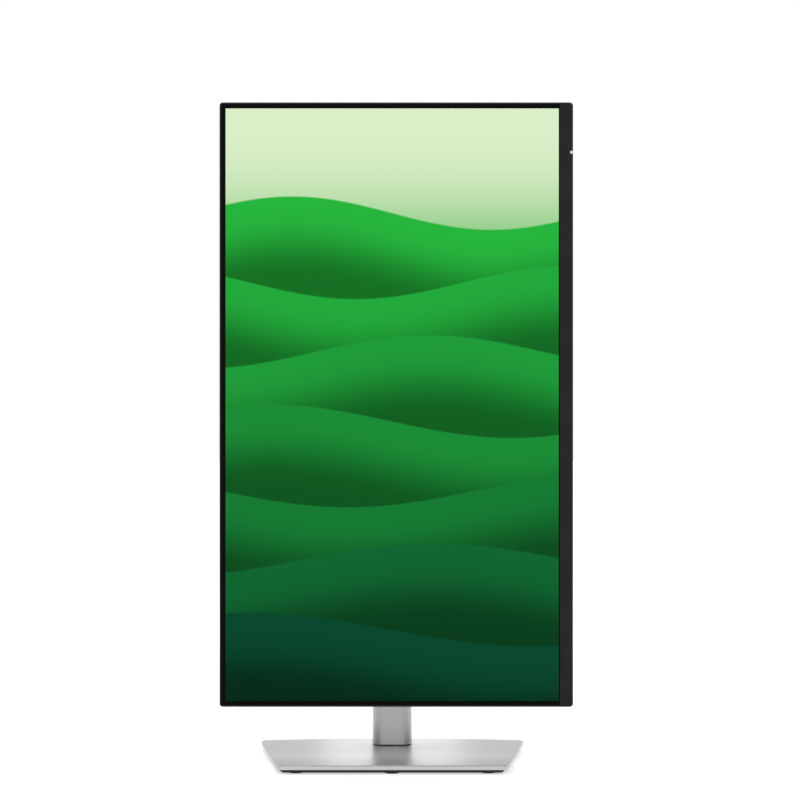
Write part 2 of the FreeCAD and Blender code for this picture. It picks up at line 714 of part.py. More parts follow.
def control_board():
    """Board with the joystick's square socket, the power switch and the lamp."""
    y0 = 8.2
    plate = box("control_x - 16", "control_x + 16", y0, y0 + 1, "stick_z - 14", "stick_z + 10")
    tail = box("control_x + 8", "control_x + 14", y0, y0 + 1, f"{LOW} + 1.5", "stick_z - 13")
    lamp = box("control_x + 9.8", "control_x + 12.2", 7.05, y0, f"{LOW} + 1.5", f"{LOW} + 3.5")
    switch = box("control_x - 3", "control_x + 3", 6.2, y0, "stick_z - 13.9", "stick_z - 9")
    socket = box("control_x - 6.5", "control_x + 6.5", y0 + 1, y0 + 5, "stick_z - 6.5", "stick_z + 6.5")
    bay = box("control_x - 5.05", "control_x + 5.05", y0 + 1.8, y0 + 6, "stick_z - 5.05", "stick_z + 5.05")
    node("control_board", join(plate, tail, switch, lamp, cut(socket, bay)), True)


def joystick():
    """Knob in a gimbal ring in a square carrier that slides in its socket."""
    carrier = cut(box("control_x - 5", "control_x + 5", 10.8, 13.8, "stick_z - 5", "stick_z + 5"),
                  box("control_x - 3.9", "control_x + 3.9", 10.7, 13.9, "stick_z - 3.9", "stick_z + 3.9"),
                  rod("x", "control_x - 6", 12.3, "stick_z", 0.6, 12))
    node("joystick_carrier", carrier, True)
    ring_body = cut(box("control_x - 3.4", "control_x + 3.4", 11.4, 13.2, "stick_z - 3.4", "stick_z + 3.4"),
                    box("control_x - 2.4", "control_x + 2.4", 11.3, 13.3, "stick_z - 2.4", "stick_z + 2.4"),
                    rod("z", "control_x", 12.3, "stick_z - 4", 0.5, 8))
    pins = [rod("x", f"control_x + {x}", 12.3, "stick_z", 0.55, 1.7) for x in (-4.7, 3)]
    node("joystick_gimbal", join(ring_body, *pins), True)
    stem = box("control_x - 1.9", "control_x + 1.9", 11.6, 13, "stick_z - 1.9", "stick_z + 1.9")
    axle = rod("z", "control_x", 12.3, "stick_z - 3.2", 0.45, 6.4)
    neck = rod("y", "control_x", 12.9, "stick_z", 1.5, 3.6)
    head = doc.addObject("Part::Cone", "head")
    head.Placement = Placement(Vector(), Rotation(Vector(1, 0, 0), -90))
    bind(head, "Radius1", 4.6)
    bind(head, "Radius2", 5.2)
    bind(head, "Height", 3.6)
    move(head, "control_x", 16.2, "stick_z")
    dish = sphere_at("control_x", 19.8 + 8, "stick_z", 8.6)
    node("joystick_knob", join(stem, axle, neck, cut(head, dish)), True)


def power_button():
    """Cap in the lower edge with a stem that reaches the switch."""
    cap = box("control_x - 6", "control_x + 6", 6, 10, f"{LOW} - 0.4", f"{LOW} + 2.4")
    collar = box("control_x - 6.8", "control_x + 6.8", 5.4, 10.6, f"{LOW} + 2.4", f"{LOW} + 3.4")
    stem = box("control_x - 1.5", "control_x + 1.5", 6.4, 8, f"{LOW} + 3.4", "stick_z - 13.9 - 1.1")
    node("power_button", join(cap, collar, stem), True)


def release_parts():
    """Push button that draws a sprung latch down off the stand plate's hook."""
    cap = box(-10, 10, f"{INNER_BACK} - 0.1", "bulge_back - 0.4", -74, -66)
    flange = box(-12, 12, f"{INNER_BACK} - 2", f"{INNER_BACK} - 0.1", -75.6, -64.4)
    stem = box(-3, 3, f"{INNER_BACK} - 7", f"{INNER_BACK} - 2", -72, -66)
    node("release_button", join(cap, flange, stem), True)
    floor_y = f"({RECESS_FLOOR} - cover_t)"
    bar = box(-9, 9, f"{floor_y} - 2", f"{floor_y} - 0.1", -61, -51.5)
    leg = box(-9, 9, f"{floor_y} - 8.3", f"{floor_y} - 2", -61, -59.3)
    foot = box(-9, 9, f"{floor_y} - 8.3", f"{floor_y} - 6.3", -72, -59.3)
    node("release_latch", join(bar, leg, foot), True)
    y = f"({floor_y} - 6.6)"
    turns = [ring("z", 0, y, -59.2 + 1.45 * i, 1.7, 0.9, 0.8) for i in range(9)]
    link = box(-0.3, 0.3, f"{y} + 1", f"{y} + 1.6", -59.2, -45)
    tab = box(-1.5, 1.5, f"{y} + 1", f"{floor_y} - 0.5", -46, -45)
    node("latch_spring", join(link, tab, *turns), True)


# ---------------------------------------------------------------- stand: head joint

def quick_release_plate():
    """Steel disc that hooks into the recess; two hooks above, one below for the latch."""
    owner = body("quick_release_plate")
    face = circle(sketch(owner, "XZ_Plane", f"{RECESS_FLOOR} + 0.05"), 0, 0, "plate_r")
    circle(face, 0, 0, 8.05)
    for x in SIDES:
        circle(face, x * 34, -12, 7)
        circle(face, x * 20, 36, 5)
    pad(owner, face, "plate_t")
    necks = sketch(owner, "XZ_Plane", f"{RECESS_FLOOR} - 6")
    hooks = sketch(owner, "XZ_Plane", f"{RECESS_FLOOR} - 6")
    for x in SIDES:
        rectangle(necks, x * 35 - 3.9, x * 35 + 3.9, 37, 38.7)
        rectangle(hooks, x * 35 - 3.9, x * 35 + 3.9, 37, 40.9)
    rectangle(necks, -9, 9, -50.6, -48.9)
    rectangle(hooks, -9, 9, -54.5, -48.9)
    pad(owner, necks, 6.05)
    pad(owner, hooks, 1.7)
    node("quick_release_plate", owner, True)


def pivot_rivet():
    head = rod("y", 0, "tilt_y - 17.9", "pivot_z", 11, 2.4)
    shank = rod("y", 0, "tilt_y - 15.6", "pivot_z", 8, 7)
    tail = rod("y", 0, "tilt_y - 8.65", "pivot_z", 10, 2.1)
    node("pivot_rivet", join(head, shank, tail))
    node("pivot_washer", ring("y", 0, f"{PLATE_BACK} + 0.05", "pivot_z", 22, 8.05, 1.15))


def tilt_bracket():
    plate = box(-30, 30, "tilt_y - 11.2", "tilt_y - 8.7", "pivot_z - 26", "pivot_z + 26")
    ears = []
    for x in (-22, 19):
        ears.append(box(x, x + 3, "tilt_y - 8.8", "tilt_y", "pivot_z - 7", "pivot_z + 7"))
        ears.append(rod("x", x, "tilt_y", "pivot_z", 7, 3))
    bores = [rod("x", -30, "tilt_y", "pivot_z", 4.05, 60), rod("y", 0, "tilt_y - 12", "pivot_z", 8.05, 4)]
    node("tilt_bracket", cut(join(plate, *ears), *bores))


def tilt_axle():
    head = hexagon("x", -26, "tilt_y", "pivot_z", 6.5, 3.9)
    node("tilt_shaft", join(rod("x", -26, "tilt_y", "pivot_z", 4, 53), head))
    nut = cut(hexagon("x", 22.1, "tilt_y", "pivot_z", 6.5, 4), rod("x", 22, "tilt_y", "pivot_z", 4.02, 5))
    node("tilt_nut", nut)
    starts = [14.1 + 1.225 * i for i in range(4)]
    starts += [-x - 1.1 for x in starts]
    node("tilt_washers", group(*[ring("x", x, "tilt_y", "pivot_z", 6.5, 4.05, 1.1) for x in starts]))


def hinge_cover():
    owner = body("hinge_cover")
    outer = sketch(owner, "XZ_Plane", "tilt_y + 4")
    rectangle(outer, -29, 29, "pivot_z - 21", "pivot_z + 21")
    pad(owner, outer, 13.4)
    soften(owner, "Fillet", 5, along("y"))
    inner = sketch(owner, "XZ_Plane", "tilt_y + 4")
    rectangle(inner, -27, 27, "pivot_z - 19", "pivot_z + 19")
    pocket(owner, inner, 11.4)
    soften(owner, "Fillet", 3, lambda middle, way: abs(way.y) > 0.99 and abs(abs(middle.x) - 27) < 0.01)
    window = sketch(owner, "XZ_Plane", "tilt_y + 14")
    rectangle(window, -14.05, 14.05, "pivot_z - 6.05", "pivot_z + 6.05")
    pocket(owner, window, 5)
    node("hinge_cover", owner)


# ---------------------------------------------------------------- stand: column

def carriage():
    knuckle = rod("x", -14, "tilt_y", "pivot_z", 6, 28)
    arm = box(-14, 14, "tilt_y", -12, "pivot_z - 6", "pivot_z + 6")
    block = box(-12.5, 12.5, -12, 10, "pivot_z - 50", "pivot_z + 10")
    bore = rod("x", -15, "tilt_y", "pivot_z", 4.05, 30)
    bay = box(-8.6, 8.6, -13, 11, "spring_z - 12", "spring_z + 12")
    axle = rod("x", -12, 0, "spring_z", 2.5, 24)
    node("carriage", join(cut(join(knuckle, arm, block), bore, bay), axle))


def guides():
    """Two steel channels in the column and the plastic pads that run in them."""
    rails = []
    pads = []
    for side in SIDES:
        x0, x1 = sorted((13 * side, 16 * side))
        web = sorted((15 * side, 16 * side))
        face = sorted((12.5 * side, 14.95 * side))
        rails.append(join(box(*web, -8, 8, 150, "column_top - 3"),
                          box(x0, x1, -8, -7, 150, "column_top - 3"),
                          box(x0, x1, 7, 8, 150, "column_top - 3")))
        for low, high in ((-48, -30), (-12, 8)):
            pads.append(box(*face, -6.95, 6.95, f"pivot_z + {low}", f"pivot_z + {high}"))
    node("guide_rails", group(*rails))
    node("carriage_glides", group(*pads))


def lift_spring():
    """Wound steel strip on a drum; its free end is held at the top of the column."""
    coil = ring("x", -7.9, 0, "spring_z", 10.4, 5.05, 15.8)
    grooves = []
    for x in (-8, 7.7):
        grooves += [ring("x", x, 0, "spring_z", 5.6 + 0.9 * i, 5.35 + 0.9 * i, 0.3) for i in range(5)]
    node("spring_coil", cut(coil, *grooves))
    node("spring_drum", ring("x", -8.3, 0, "spring_z", 5, 2.55, 16.6))
    strip = box(-7.5, 7.5, 10.5, 10.8, "spring_z", "column_top - 5")
    anchor = box(-8, 8, 10.8, "column_d / 2 - wall", "column_top - 19", "column_top - 5")
    node("spring_strip", join(strip, anchor))


def column_shell():
    owner = body("column_shell")
    outer = sketch(owner, "XY_Plane", "column_foot_z")
    rectangle(outer, "0 - column_w / 2", "column_w / 2", "0 - column_d / 2", "column_d / 2")
    pad(owner, outer, "column_top - column_foot_z")
    inner = sketch(owner, "XY_Plane", "column_foot_z")
    rectangle(inner, "0 - column_w / 2 + wall", "column_w / 2 - wall",
              "0 - column_d / 2 + wall", "column_d / 2 - wall")
    pocket(owner, inner, "column_top - column_foot_z")
    inner_x = value("column_w / 2 - wall")
    soften(owner, "Fillet", "column_r - wall", lambda middle, way: abs(way.z) > 0.99
           and abs(abs(middle.x) - inner_x) < 0.01)
    soften(owner, "Fillet", "column_r", lambda middle, way: abs(way.z) > 0.99
           and abs(middle.x) > inner_x + 1)
    slot = sketch(owner, "XZ_Plane", "0 - column_d / 2 - 1")
    rectangle(slot, -14.3, 14.3, "pivot_z - 54", "column_top - 4")
    pocket(owner, slot, "wall + 5")
    hole = sketch(owner, "XZ_Plane", "0 - column_d / 2 - 1")
    rectangle(hole, "0 - cable_w / 2", "cable_w / 2", "cable_z - cable_h / 2", "cable_z + cable_h / 2")
    pocket(owner, hole, "column_d + 2")
    half_w = value("cable_w / 2")
    soften(owner, "Fillet", "cable_w / 2 - 0.1", lambda middle, way: abs(way.y) > 0.99
           and abs(abs(middle.x) - half_w) < 0.01 and middle.z < 130)
    node("column_shell", owner)


def column_cap():
    owner = body("column_cap")
    top = sketch(owner, "XY_Plane", "column_top")
    rectangle(top, "0 - column_w / 2", "column_w / 2", "0 - column_d / 2", "column_d / 2")
    pad(owner, top, 3)
    soften(owner, "Fillet", "column_r", along("z"))
    soften(owner, "Fillet", 1.2, level("z", "column_top + 3"))
    plug = sketch(owner, "XY_Plane", "column_top - 2.4")
    rectangle(plug, -13.4, 13.4, -17.4, 17.4)
    pad(owner, plug, 2.4)
    node("column_cap", owner)


def stadium(half_w, half_h, y0, y1):
    """Upright rounded slot shape about the cable hole's middle."""
    straight = f"({half_h} - {half_w})"
    middle = box(f"0 - {half_w}", half_w, y0, y1, f"cable_z - {straight}", f"cable_z + {straight}")
    ends = [rod("y", 0, y0, f"cable_z + {side} * {straight}", half_w, f"({y1}) - ({y0})") for side in SIDES]
    return join(middle, *ends)


def cable_trim():
    face = "(column_d / 2)"
    tube = stadium("(cable_w / 2 - 0.2)", "(cable_h / 2 - 0.2)", f"0 - {face}", face)
    lips = [stadium("(cable_w / 2 + 1.4)", "(cable_h / 2 + 1.4)", y0, y1)
            for y0, y1 in ((f"0 - {face} - 0.7", f"0 - {face}"), (face, f"{face} + 0.7"))]
    way = stadium("(cable_w / 2 - 1.6)", "(cable_h / 2 - 1.6)", f"0 - {face} - 1", f"{face} + 1")
    node("cable_trim", cut(join(tube, *lips), way))


def column_foot():
    owner = body("column_foot")
    block = sketch(owner, "XY_Plane", "column_foot_z")
    rectangle(block, "0 - column_w / 2 + wall", "column_w / 2 - wall",
              "0 - column_d / 2 + wall", "column_d / 2 - wall")
    pad(owner, block, 13)
    soften(owner, "Fillet", "column_r - wall + 0.05", along("z"))
    pocket(owner, circle(sketch(owner, "XY_Plane", "column_foot_z"), 0, 0, 7.05), 13)
    node("column_foot", owner)


# ---------------------------------------------------------------- stand: base

def swivel_parts():
    """Fixed hub that the column turns on, clamped by washers and a nut."""
    flange = rod("z", 0, 0, "base_top", 16, 0.85)
    stem = rod("z", 0, 0, "base_top", 7, 21)
    pins = [rod("z", x, 0, "base_top - 3.5", 1.5, 3.6) for x in (-11, 11)]
    bore = rod("z", 0, 0, "base_top - 1", 3.05, 19)
    node("swivel_hub", cut(join(flange, stem, *pins), bore))
    washers = [ring("z", 0, 0, f"column_foot_z + 13.05 + {z}", 13, 7.05, 0.95) for z in (0, 1)]
    node("swivel_washers", group(*washers))
    bore = rod("z", 0, 0, "column_foot_z + 15", 7.02, 6)
    node("swivel_nut", cut(hexagon("z", 0, 0, "column_foot_z + 15.1", 12, 4.9), bore))


def base_outline(item, inset):
    """Trapezoid with a bowed rear edge, drawn inset from the base's outer edge."""
    front = (f"(base_front_w / 2 - {inset})", f"(base_front_y + {inset})")
    rear = (f"(base_rear_w / 2 - {inset})", f"(base_rear_y - {inset})")
    points = [(f"0 - {front[0]}", front[1]), front, rear, (f"0 - {rear[0]}", rear[1])]
    spots = [Vector(value(x), value(y), 0) for x, y in points]
    first = item.GeometryCount
    for start, end in ((0, 1), (1, 2), (3, 0)):
        item.addGeometry(Part.LineSegment(spots[start], spots[end]), False)
    radius = value("base_rear_r")
    half = value(rear[0])
    crown = Vector(0, value(rear[1]) + radius - (radius ** 2 - half ** 2) ** 0.5, 0)
    item.addGeometry(Part.Arc(spots[2], crown, spots[3]), False)
    front_line, right, left, bow = range(first, first + 4)
    for a, a_end, b, b_end in ((front_line, 2, right, 1), (front_line, 1, left, 2),
                               (right, 2, bow, 1), (left, 1, bow, 2)):
        item.addConstraint(Sketcher.Constraint("Coincident", a, a_end, b, b_end))
    for line, end, point in ((front_line, 1, points[0]), (front_line, 2, points[1]),
                             (right, 2, points[2]), (left, 1, points[3])):
        pin_corner(item, line, end, point)
    size = item.addConstraint(Sketcher.Constraint("Radius", bow, radius))
    bind(item, f"Constraints[{size}]", "0 + base_rear_r")
    return item


def base_cover():
    owner = body("base_cover")
    pad(owner, base_outline(sketch(owner, "XY_Plane", "base_cover_z"), 0), "base_top - base_cover_z")
    inside = base_outline(sketch(owner, "XY_Plane", "base_cover_z"), 1.6)
    pocket(owner, inside, "base_top - base_cover_z - 1.5")
    soften(owner, "Fillet", 6, along("z"))
    soften(owner, "Chamfer", 0.9, level("z", "base_top"))
    holes = circle(sketch(owner, "XY_Plane", "base_top - 2"), 0, 0, 4)
    for x in (-11, 11):
        circle(holes, x, 0, 1.55)
    pocket(owner, holes, 3)
    node("base_cover", owner)


def base_plate():
    owner = body("base_plate")
    pad(owner, base_outline(sketch(owner, "XY_Plane", "base_cover_z + 0.2"), 6), 2.15)
    holes = circle(sketch(owner, "XY_Plane", "base_cover_z"), 0, 0, 3.1)
    for x in (-11, 11):
        circle(holes, x, 0, 1.55)
    for x in SIDES:
        circle(holes, x * 60, -70, 20)
    pocket(owner, holes, 3)
    node("base_plate", owner)


FEET = [(-84, -134), (0, -136), (84, -134), (-100, 4), (100, 4)]


def base_tray():
    owner = body("base_tray")
    pad(owner, base_outline(sketch(owner, "XY_Plane", 1.2), 3), "base_cover_z - 1.2 + 0.15")
    soften(owner, "Fillet", 6, along("z"))
    soften(owner, "Chamfer", 2, level("z", 1.2))
    pocket(owner, circle(sketch(owner, "XY_Plane", 1), 0, 0, 15), 4)
    seats = sketch(owner, "XY_Plane", 1)
    for x, y in FEET:
        circle(seats, x, y, 7.05)
    pocket(owner, seats, 0.6)
    node("base_tray", owner)


def pads_underneath():
    node("rubber_feet", group(*[rod("z", x, y, 0, 7, 1.6) for x, y in FEET]))
    node("centre_pad", ring("z", 0, 0, 0, 22.5, 16.5, 1.2))


def base_screw():
    shank = rod("z", 0, 0, 4, 3, 18)
    head = rod("z", 0, 0, 2.5, 9, 1.7)
    lug = box(-9.2, 9.2, -1.6, 1.6, 0.7, 2.6)
    sockets = [rod("x", x, 0, 1.6, 0.65, 2.5) for x in (-9.5, 7)]
    node("base_screw", cut(join(shank, head, lug), *sockets))
    arms = [box(x, x + 1.4, -1.4, 8.6, 0.9, 2.3) for x in (-10.7, 9.3)]
    bar = box(-10.7, 10.7, 7, 8.6, 0.9, 2.3)
    pins = [rod("x", x, 0, 1.6, 0.6, 2) for x in (-9.4, 7.4)]
    node("ring_handle", join(bar, *arms, *pins))


# ---------------------------------------------------------------- build and export

BUILDERS = [
    middle_frame, chin_strip, led_lens, screen_stack, led_bar, panel_chassis, cell_flexes,
    panel_driver_board, port_connectors, ac_inlet, main_board, power_board, inlet_leads,
    board_standoffs, board_shield, vesa_nuts, cables, rear_cover, cover_screws, control_board,
    joystick, power_button, release_parts, quick_release_plate, pivot_rivet, tilt_bracket,
    tilt_axle, hinge_cover, carriage, guides, lift_spring, column_shell, column_cap, cable_trim,
    column_foot, swivel_parts, base_cover, base_plate, base_tray, pads_underneath, base_screw,
]


def check(item):
    """Stop the build when an object is broken."""
    if {"Invalid", "Error"} & set(item.State):
        raise ValueError(f"{item.Label}: {item.State}")
    if item.TypeId == "Sketcher::SketchObject" or not hasattr(item, "Shape"):
        return
    if item.Shape.isNull() or not item.Shape.isValid():
        raise ValueError(f"{item.Label}: bad shape")


for build in BUILDERS:
    build()
doc.recompute()
for item in doc.Objects:
    if item.TypeId.startswith(("Part", "Sketcher")):
        check(item)
os.makedirs("parts", exist_ok=True)
for name, item in NODES.items():
    item.Shape.exportStep(f"parts/{name}.step")
print(len(NODES), "nodes")
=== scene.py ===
import json
import math
import random

import bmesh
import bpy
from mathutils import Matrix, Vector
from mathutils.geometry import delaunay_2d_cdt


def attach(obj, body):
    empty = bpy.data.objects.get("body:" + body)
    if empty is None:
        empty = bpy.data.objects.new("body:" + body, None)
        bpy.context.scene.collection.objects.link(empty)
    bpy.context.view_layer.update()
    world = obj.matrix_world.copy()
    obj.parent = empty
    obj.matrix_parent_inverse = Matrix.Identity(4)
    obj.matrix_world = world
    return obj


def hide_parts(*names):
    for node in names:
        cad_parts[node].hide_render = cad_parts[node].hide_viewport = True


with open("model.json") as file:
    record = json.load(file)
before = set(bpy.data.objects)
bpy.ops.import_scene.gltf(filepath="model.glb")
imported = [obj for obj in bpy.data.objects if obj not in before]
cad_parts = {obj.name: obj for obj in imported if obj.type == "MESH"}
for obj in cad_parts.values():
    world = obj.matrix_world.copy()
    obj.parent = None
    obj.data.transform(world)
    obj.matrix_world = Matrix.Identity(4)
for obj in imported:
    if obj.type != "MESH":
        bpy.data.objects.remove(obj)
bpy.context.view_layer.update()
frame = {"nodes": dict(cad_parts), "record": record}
NODES = frame["nodes"]
BODIES = frame["record"]["behaviour"]["bodies"]
BODY_OF = {node: body for body, members in BODIES.items() for node in members}
SLOT_OF = {entry["node"]: entry["material_slot"] for entry in frame["record"]["subparts"]}

MM = 0.001
PIVOT_Z = 321                # height of the pivot axis at rest, millimetres like all sizes below
FRONT_Y = -92                # front face of the display
HALF_H = 527.04 / 2          # lit area of the upright screen, from its middle
HALF_W = 296.46 / 2


# ---------- node trees

def fill(tree, socket, value):
    """Join an input to a field or a socket, or give it a plain value; a colour is three numbers."""
    if isinstance(value, Field):
        value = value.socket
    if isinstance(value, bpy.types.NodeSocket):
        tree.links.new(value, socket)
    elif socket.type == "RGBA":
        socket.default_value = (*value, 1.0)
    else:
        socket.default_value = value


def new_node(tree, kind, **inputs):
    """A shader node with some inputs filled in; _ in a name stands for a space."""
    node = tree.nodes.new("ShaderNode" + kind)
    for name, value in inputs.items():
        fill(tree, node.inputs[name.replace("_", " ")], value)
    return node


class Field:
    """A number in a node tree that can be combined with ordinary arithmetic."""

    def __init__(self, tree, socket):
        self.tree = tree
        self.socket = socket

    def math(self, kind, *others):
        node = new_node(self.tree, "Math")
        node.operation = kind
        for socket, term in zip(node.inputs, (self, *others)):
            fill(self.tree, socket, term)
        return Field(self.tree, node.outputs[0])

    def __add__(self, other):
        return self.math("ADD", other)

    def __sub__(self, other):
        return self.math("SUBTRACT", other)

    def __mul__(self, other):
        return self.math("MULTIPLY", other)

    def __truediv__(self, other):
        return self.math("DIVIDE", other)

    def step(self, low, high):
        """0 up to low, 1 from high on and smooth between them; low may be the larger one."""
        ends = (0.0, 1.0) if low < high else (1.0, 0.0)
        node = new_node(self.tree, "MapRange", Value=self, From_Min=min(low, high),
                        From_Max=max(low, high), To_Min=ends[0], To_Max=ends[1])
        node.interpolation_type = "SMOOTHSTEP"
        return Field(self.tree, node.outputs["Result"])

    def ramp(self, stops):
        """Colour ramp over the field: a list of (position, colour)."""
        node = new_node(self.tree, "ValToRGB", Fac=self)
        ramp = node.color_ramp
        ramp.interpolation = "EASE"
        while len(ramp.elements) < len(stops):
            ramp.elements.new(1.0)
        for element, (place, colour) in zip(ramp.elements, stops):
            element.position = place
            element.color = (*colour, 1.0)
        return node.outputs["Color"]


def mix_colour(tree, share, first, second):
    """Blend of two colours; each may be a socket or three numbers."""
    node = new_node(tree, "Mix")
    node.data_type = "RGBA"
    fill(tree, node.inputs["Factor"], share)
    for name, colour in (("A", first), ("B", second)):
        fill(tree, [s for s in node.inputs if s.name == name and s.type == "RGBA"][0], colour)
    return [s for s in node.outputs if s.type == "RGBA"][0]


class Paint:
    """A node material around one Principled shader, with object coordinates in millimetres."""

    def __init__(self, name):
        self.material = bpy.data.materials.new(name)
        self.material.use_nodes = True
        self.tree = self.material.node_tree
        self.shader = self.tree.nodes["Principled BSDF"]
        self.place = self.mapped(self.node("TexCoord").outputs["Object"], Scale=(1 / MM,) * 3)

    def node(self, kind, **inputs):
        return new_node(self.tree, kind, **inputs)

    def mapped(self, place, **change):
        return self.node("Mapping", Vector=place, **change).outputs["Vector"]

    def axis(self, index):
        return Field(self.tree, self.node("SeparateXYZ", Vector=self.place).outputs[index])

    def noise(self, size_mm, detail=3.0, rough=0.55, stretch=(1, 1, 1)):
        node = self.node("TexNoise", Vector=self.mapped(self.place, Scale=stretch),
                         Scale=1 / size_mm, Detail=detail, Roughness=rough)
        return Field(self.tree, node.outputs["Fac"])

    def cells(self, size_mm):
        node = self.node("TexVoronoi", Vector=self.place, Scale=1 / size_mm)
        return Field(self.tree, node.outputs["Distance"])

    def edge_wear_and_highlight(self, radius_mm):
        """1 along convex and concave edges, 0 on flats; it lightens edges as rubbed wear and as a painted
        highlight.
        """
        bevel = self.node("Bevel", Radius=radius_mm * MM)
        bevel.samples = 3
        dot = self.node("VectorMath")
        dot.operation = "DOT_PRODUCT"
        fill(self.tree, dot.inputs[0], bevel.outputs[0])
        fill(self.tree, dot.inputs[1], self.node("NewGeometry").outputs["Normal"])
        return Field(self.tree, dot.outputs["Value"]).step(0.99, 0.75)

    def set(self, **values):
        """Fill the shader's inputs; _ in a name stands for a space."""
        for name, value in values.items():
            fill(self.tree, self.shader.inputs[name.replace("_", " ")], value)
        return self

    def bump(self, height, depth_mm):
        node = self.node("Bump", Strength=1.0, Distance=depth_mm * MM, Height=height)
        return self.set(Normal=node.outputs[0])


def scaled(colour, factor, lift=0.0):
    """The colour made lighter or darker, and no lighter than white."""
    return tuple(min(1.0, c * factor + lift) for c in colour)


def varied(paint, colour, amount, size_mm):
    """Colour with gentle light and dark patches."""
    patches = paint.noise(size_mm, 4.0)
    return patches.ramp([(0.3, scaled(colour, 1 - amount)), (0.7, scaled(colour, 1 + amount))])


def moulded_plastic(name, colour, rough=0.5, grain_mm=0.35, depth_mm=0.02, spec=0.45):
    """Spark-textured moulded plastic with slightly polished edges, lighter along them as wear and as a
    painted highlight.
    """
    paint = Paint(name)
    grain = paint.cells(grain_mm) * 0.7 + paint.noise(grain_mm * 0.6) * 0.3
    smudge = paint.noise(45, 3.0)
    wear_and_highlight = paint.edge_wear_and_highlight(0.5)
    # edges painted lighter: partly rubbed wear, partly a painted highlight
    base = mix_colour(paint.tree, wear_and_highlight * 0.45, varied(paint, colour, 0.12, 30), scaled(colour, 1.9, 0.01))
    paint.set(Base_Color=base, Specular_IOR_Level=spec,
              Roughness=smudge * 0.14 + rough - 0.07 - wear_and_highlight * 0.12)
    return paint.bump(grain, depth_mm).material


def silver_paint(name, colour, rough=0.34):
    """Metallic paint with fine flakes over a faint orange-peel surface."""
    paint = Paint(name)
    flakes = paint.noise(0.16, 2.0, 0.8)
    peel = paint.noise(1.6, 2.0) * 0.6 + flakes * 0.4
    cloud = paint.noise(70, 2.0)
    wear_and_highlight = paint.edge_wear_and_highlight(0.5)
    sparkle = flakes.ramp([(0.25, scaled(colour, 0.9)), (0.75, scaled(colour, 1.12))])
    # edges painted towards pale silver: partly rubbed wear, partly a painted highlight
    base = mix_colour(paint.tree, wear_and_highlight * 0.5, sparkle, (0.86, 0.87, 0.88))
    paint.set(Base_Color=base, Metallic=0.72, Roughness=cloud * 0.08 + rough - 0.04 + flakes * 0.05,
              Coat_Weight=0.12, Coat_Roughness=0.25)
    return paint.bump(peel, 0.012).material


def worked_metal(name, colour, rough=0.3, stretch=(1, 1, 18), grain_mm=0.6, depth_mm=0.01, metallic=1.0):
    """Rolled or brushed metal with streaks along one way."""
    paint = Paint(name)
    streak = paint.noise(grain_mm, 3.0, 0.7, tuple(1 / s for s in stretch))
    stain = paint.noise(25, 4.0)
    wear_and_highlight = paint.edge_wear_and_highlight(0.3)
    drawn = streak.ramp([(0.3, scaled(colour, 0.78)), (0.7, colour)])
    # edges painted lighter: partly rubbed wear, partly a painted highlight
    base = mix_colour(paint.tree, wear_and_highlight * 0.5, drawn, scaled(colour, 1.3, 0.05))
    paint.set(Base_Color=base, Metallic=metallic, Roughness=stain * 0.2 + streak * 0.12 + rough - 0.16)
    return paint.bump(streak, depth_mm).material


def cast_metal(name, colour):
    """Sandy cast surface, brighter along its edges as rubbed wear and as a painted highlight."""
    paint = Paint(name)
    sand = paint.cells(0.5) * 0.5 + paint.noise(0.9, 5.0, 0.7) * 0.5
    wear_and_highlight = paint.edge_wear_and_highlight(0.6)
    base = mix_colour(paint.tree, wear_and_highlight * 0.6, varied(paint, colour, 0.2, 6), (0.8, 0.81, 0.82))
    paint.set(Base_Color=base, Metallic=0.9, Roughness=sand * 0.25 + 0.4)
    return paint.bump(sand, 0.08).material


def soft_rubber(name, colour):
    """Dull rubber with dust in its grain."""
    paint = Paint(name)
    dust = paint.noise(3, 5.0, 0.7)
    grain = paint.noise(0.3, 3.0)
    base = mix_colour(paint.tree, dust.step(0.5, 0.75) * 0.25, colour, (0.16, 0.155, 0.15))
    paint.set(Base_Color=base, Roughness=dust * 0.15 + 0.75, Specular_IOR_Level=0.25)
    return paint.bump(grain, 0.05).material


def clear_sheet(name, colour, rough=0.25):
    """Milky translucent plastic for light guides, films and lenses."""
    paint = Paint(name)
    dots = paint.cells(1.4).step(0.35, 0.25)
    haze = paint.noise(12, 3.0)
    base = mix_colour(paint.tree, dots * 0.35, varied(paint, colour, 0.05, 20), (1.0, 1.0, 1.0))
    paint.set(Base_Color=base, Roughness=haze * 0.2 + rough - 0.1, Transmission_Weight=0.35, IOR=1.49)
    return paint.bump(dots, 0.01).material


def circuit_board(name):
    """Green solder mask over square-routed copper tracks."""
    paint = Paint(name)
    flat = paint.mapped(paint.place, Rotation=(math.radians(90), 0, 0))
    tracks = paint.node("TexBrick", Vector=flat, Scale=0.22, Mortar_Size=0.04, Mortar=(0.05, 0.24, 0.09),
                        Color1=(0.012, 0.10, 0.035), Color2=(0.016, 0.13, 0.045))
    pads = paint.cells(3.1).step(0.16, 0.12)
    base = mix_colour(paint.tree, pads, tracks.outputs["Color"], (0.72, 0.68, 0.55))
    paint.set(Base_Color=base, Metallic=pads * 0.9, Roughness=paint.noise(8) * 0.15 + 0.25)
    return paint.bump(Field(paint.tree, tracks.outputs["Fac"]) * 0.5 + pads * 0.5, 0.03).material


# ---------- screen picture

PALE = (0.76, 0.93, 0.62)
LEAF = (0.02, 0.50, 0.05)
PINE = (0.001, 0.07, 0.028)
LAYERS = 7


def wave(field, size, phase, height):
    """Sine of a field with its own length, phase and height."""
    return (field * (2 * math.pi / size) + phase).math("SINE") * height


def distance(x, y):
    return (x * x + y * y).math("SQRT")


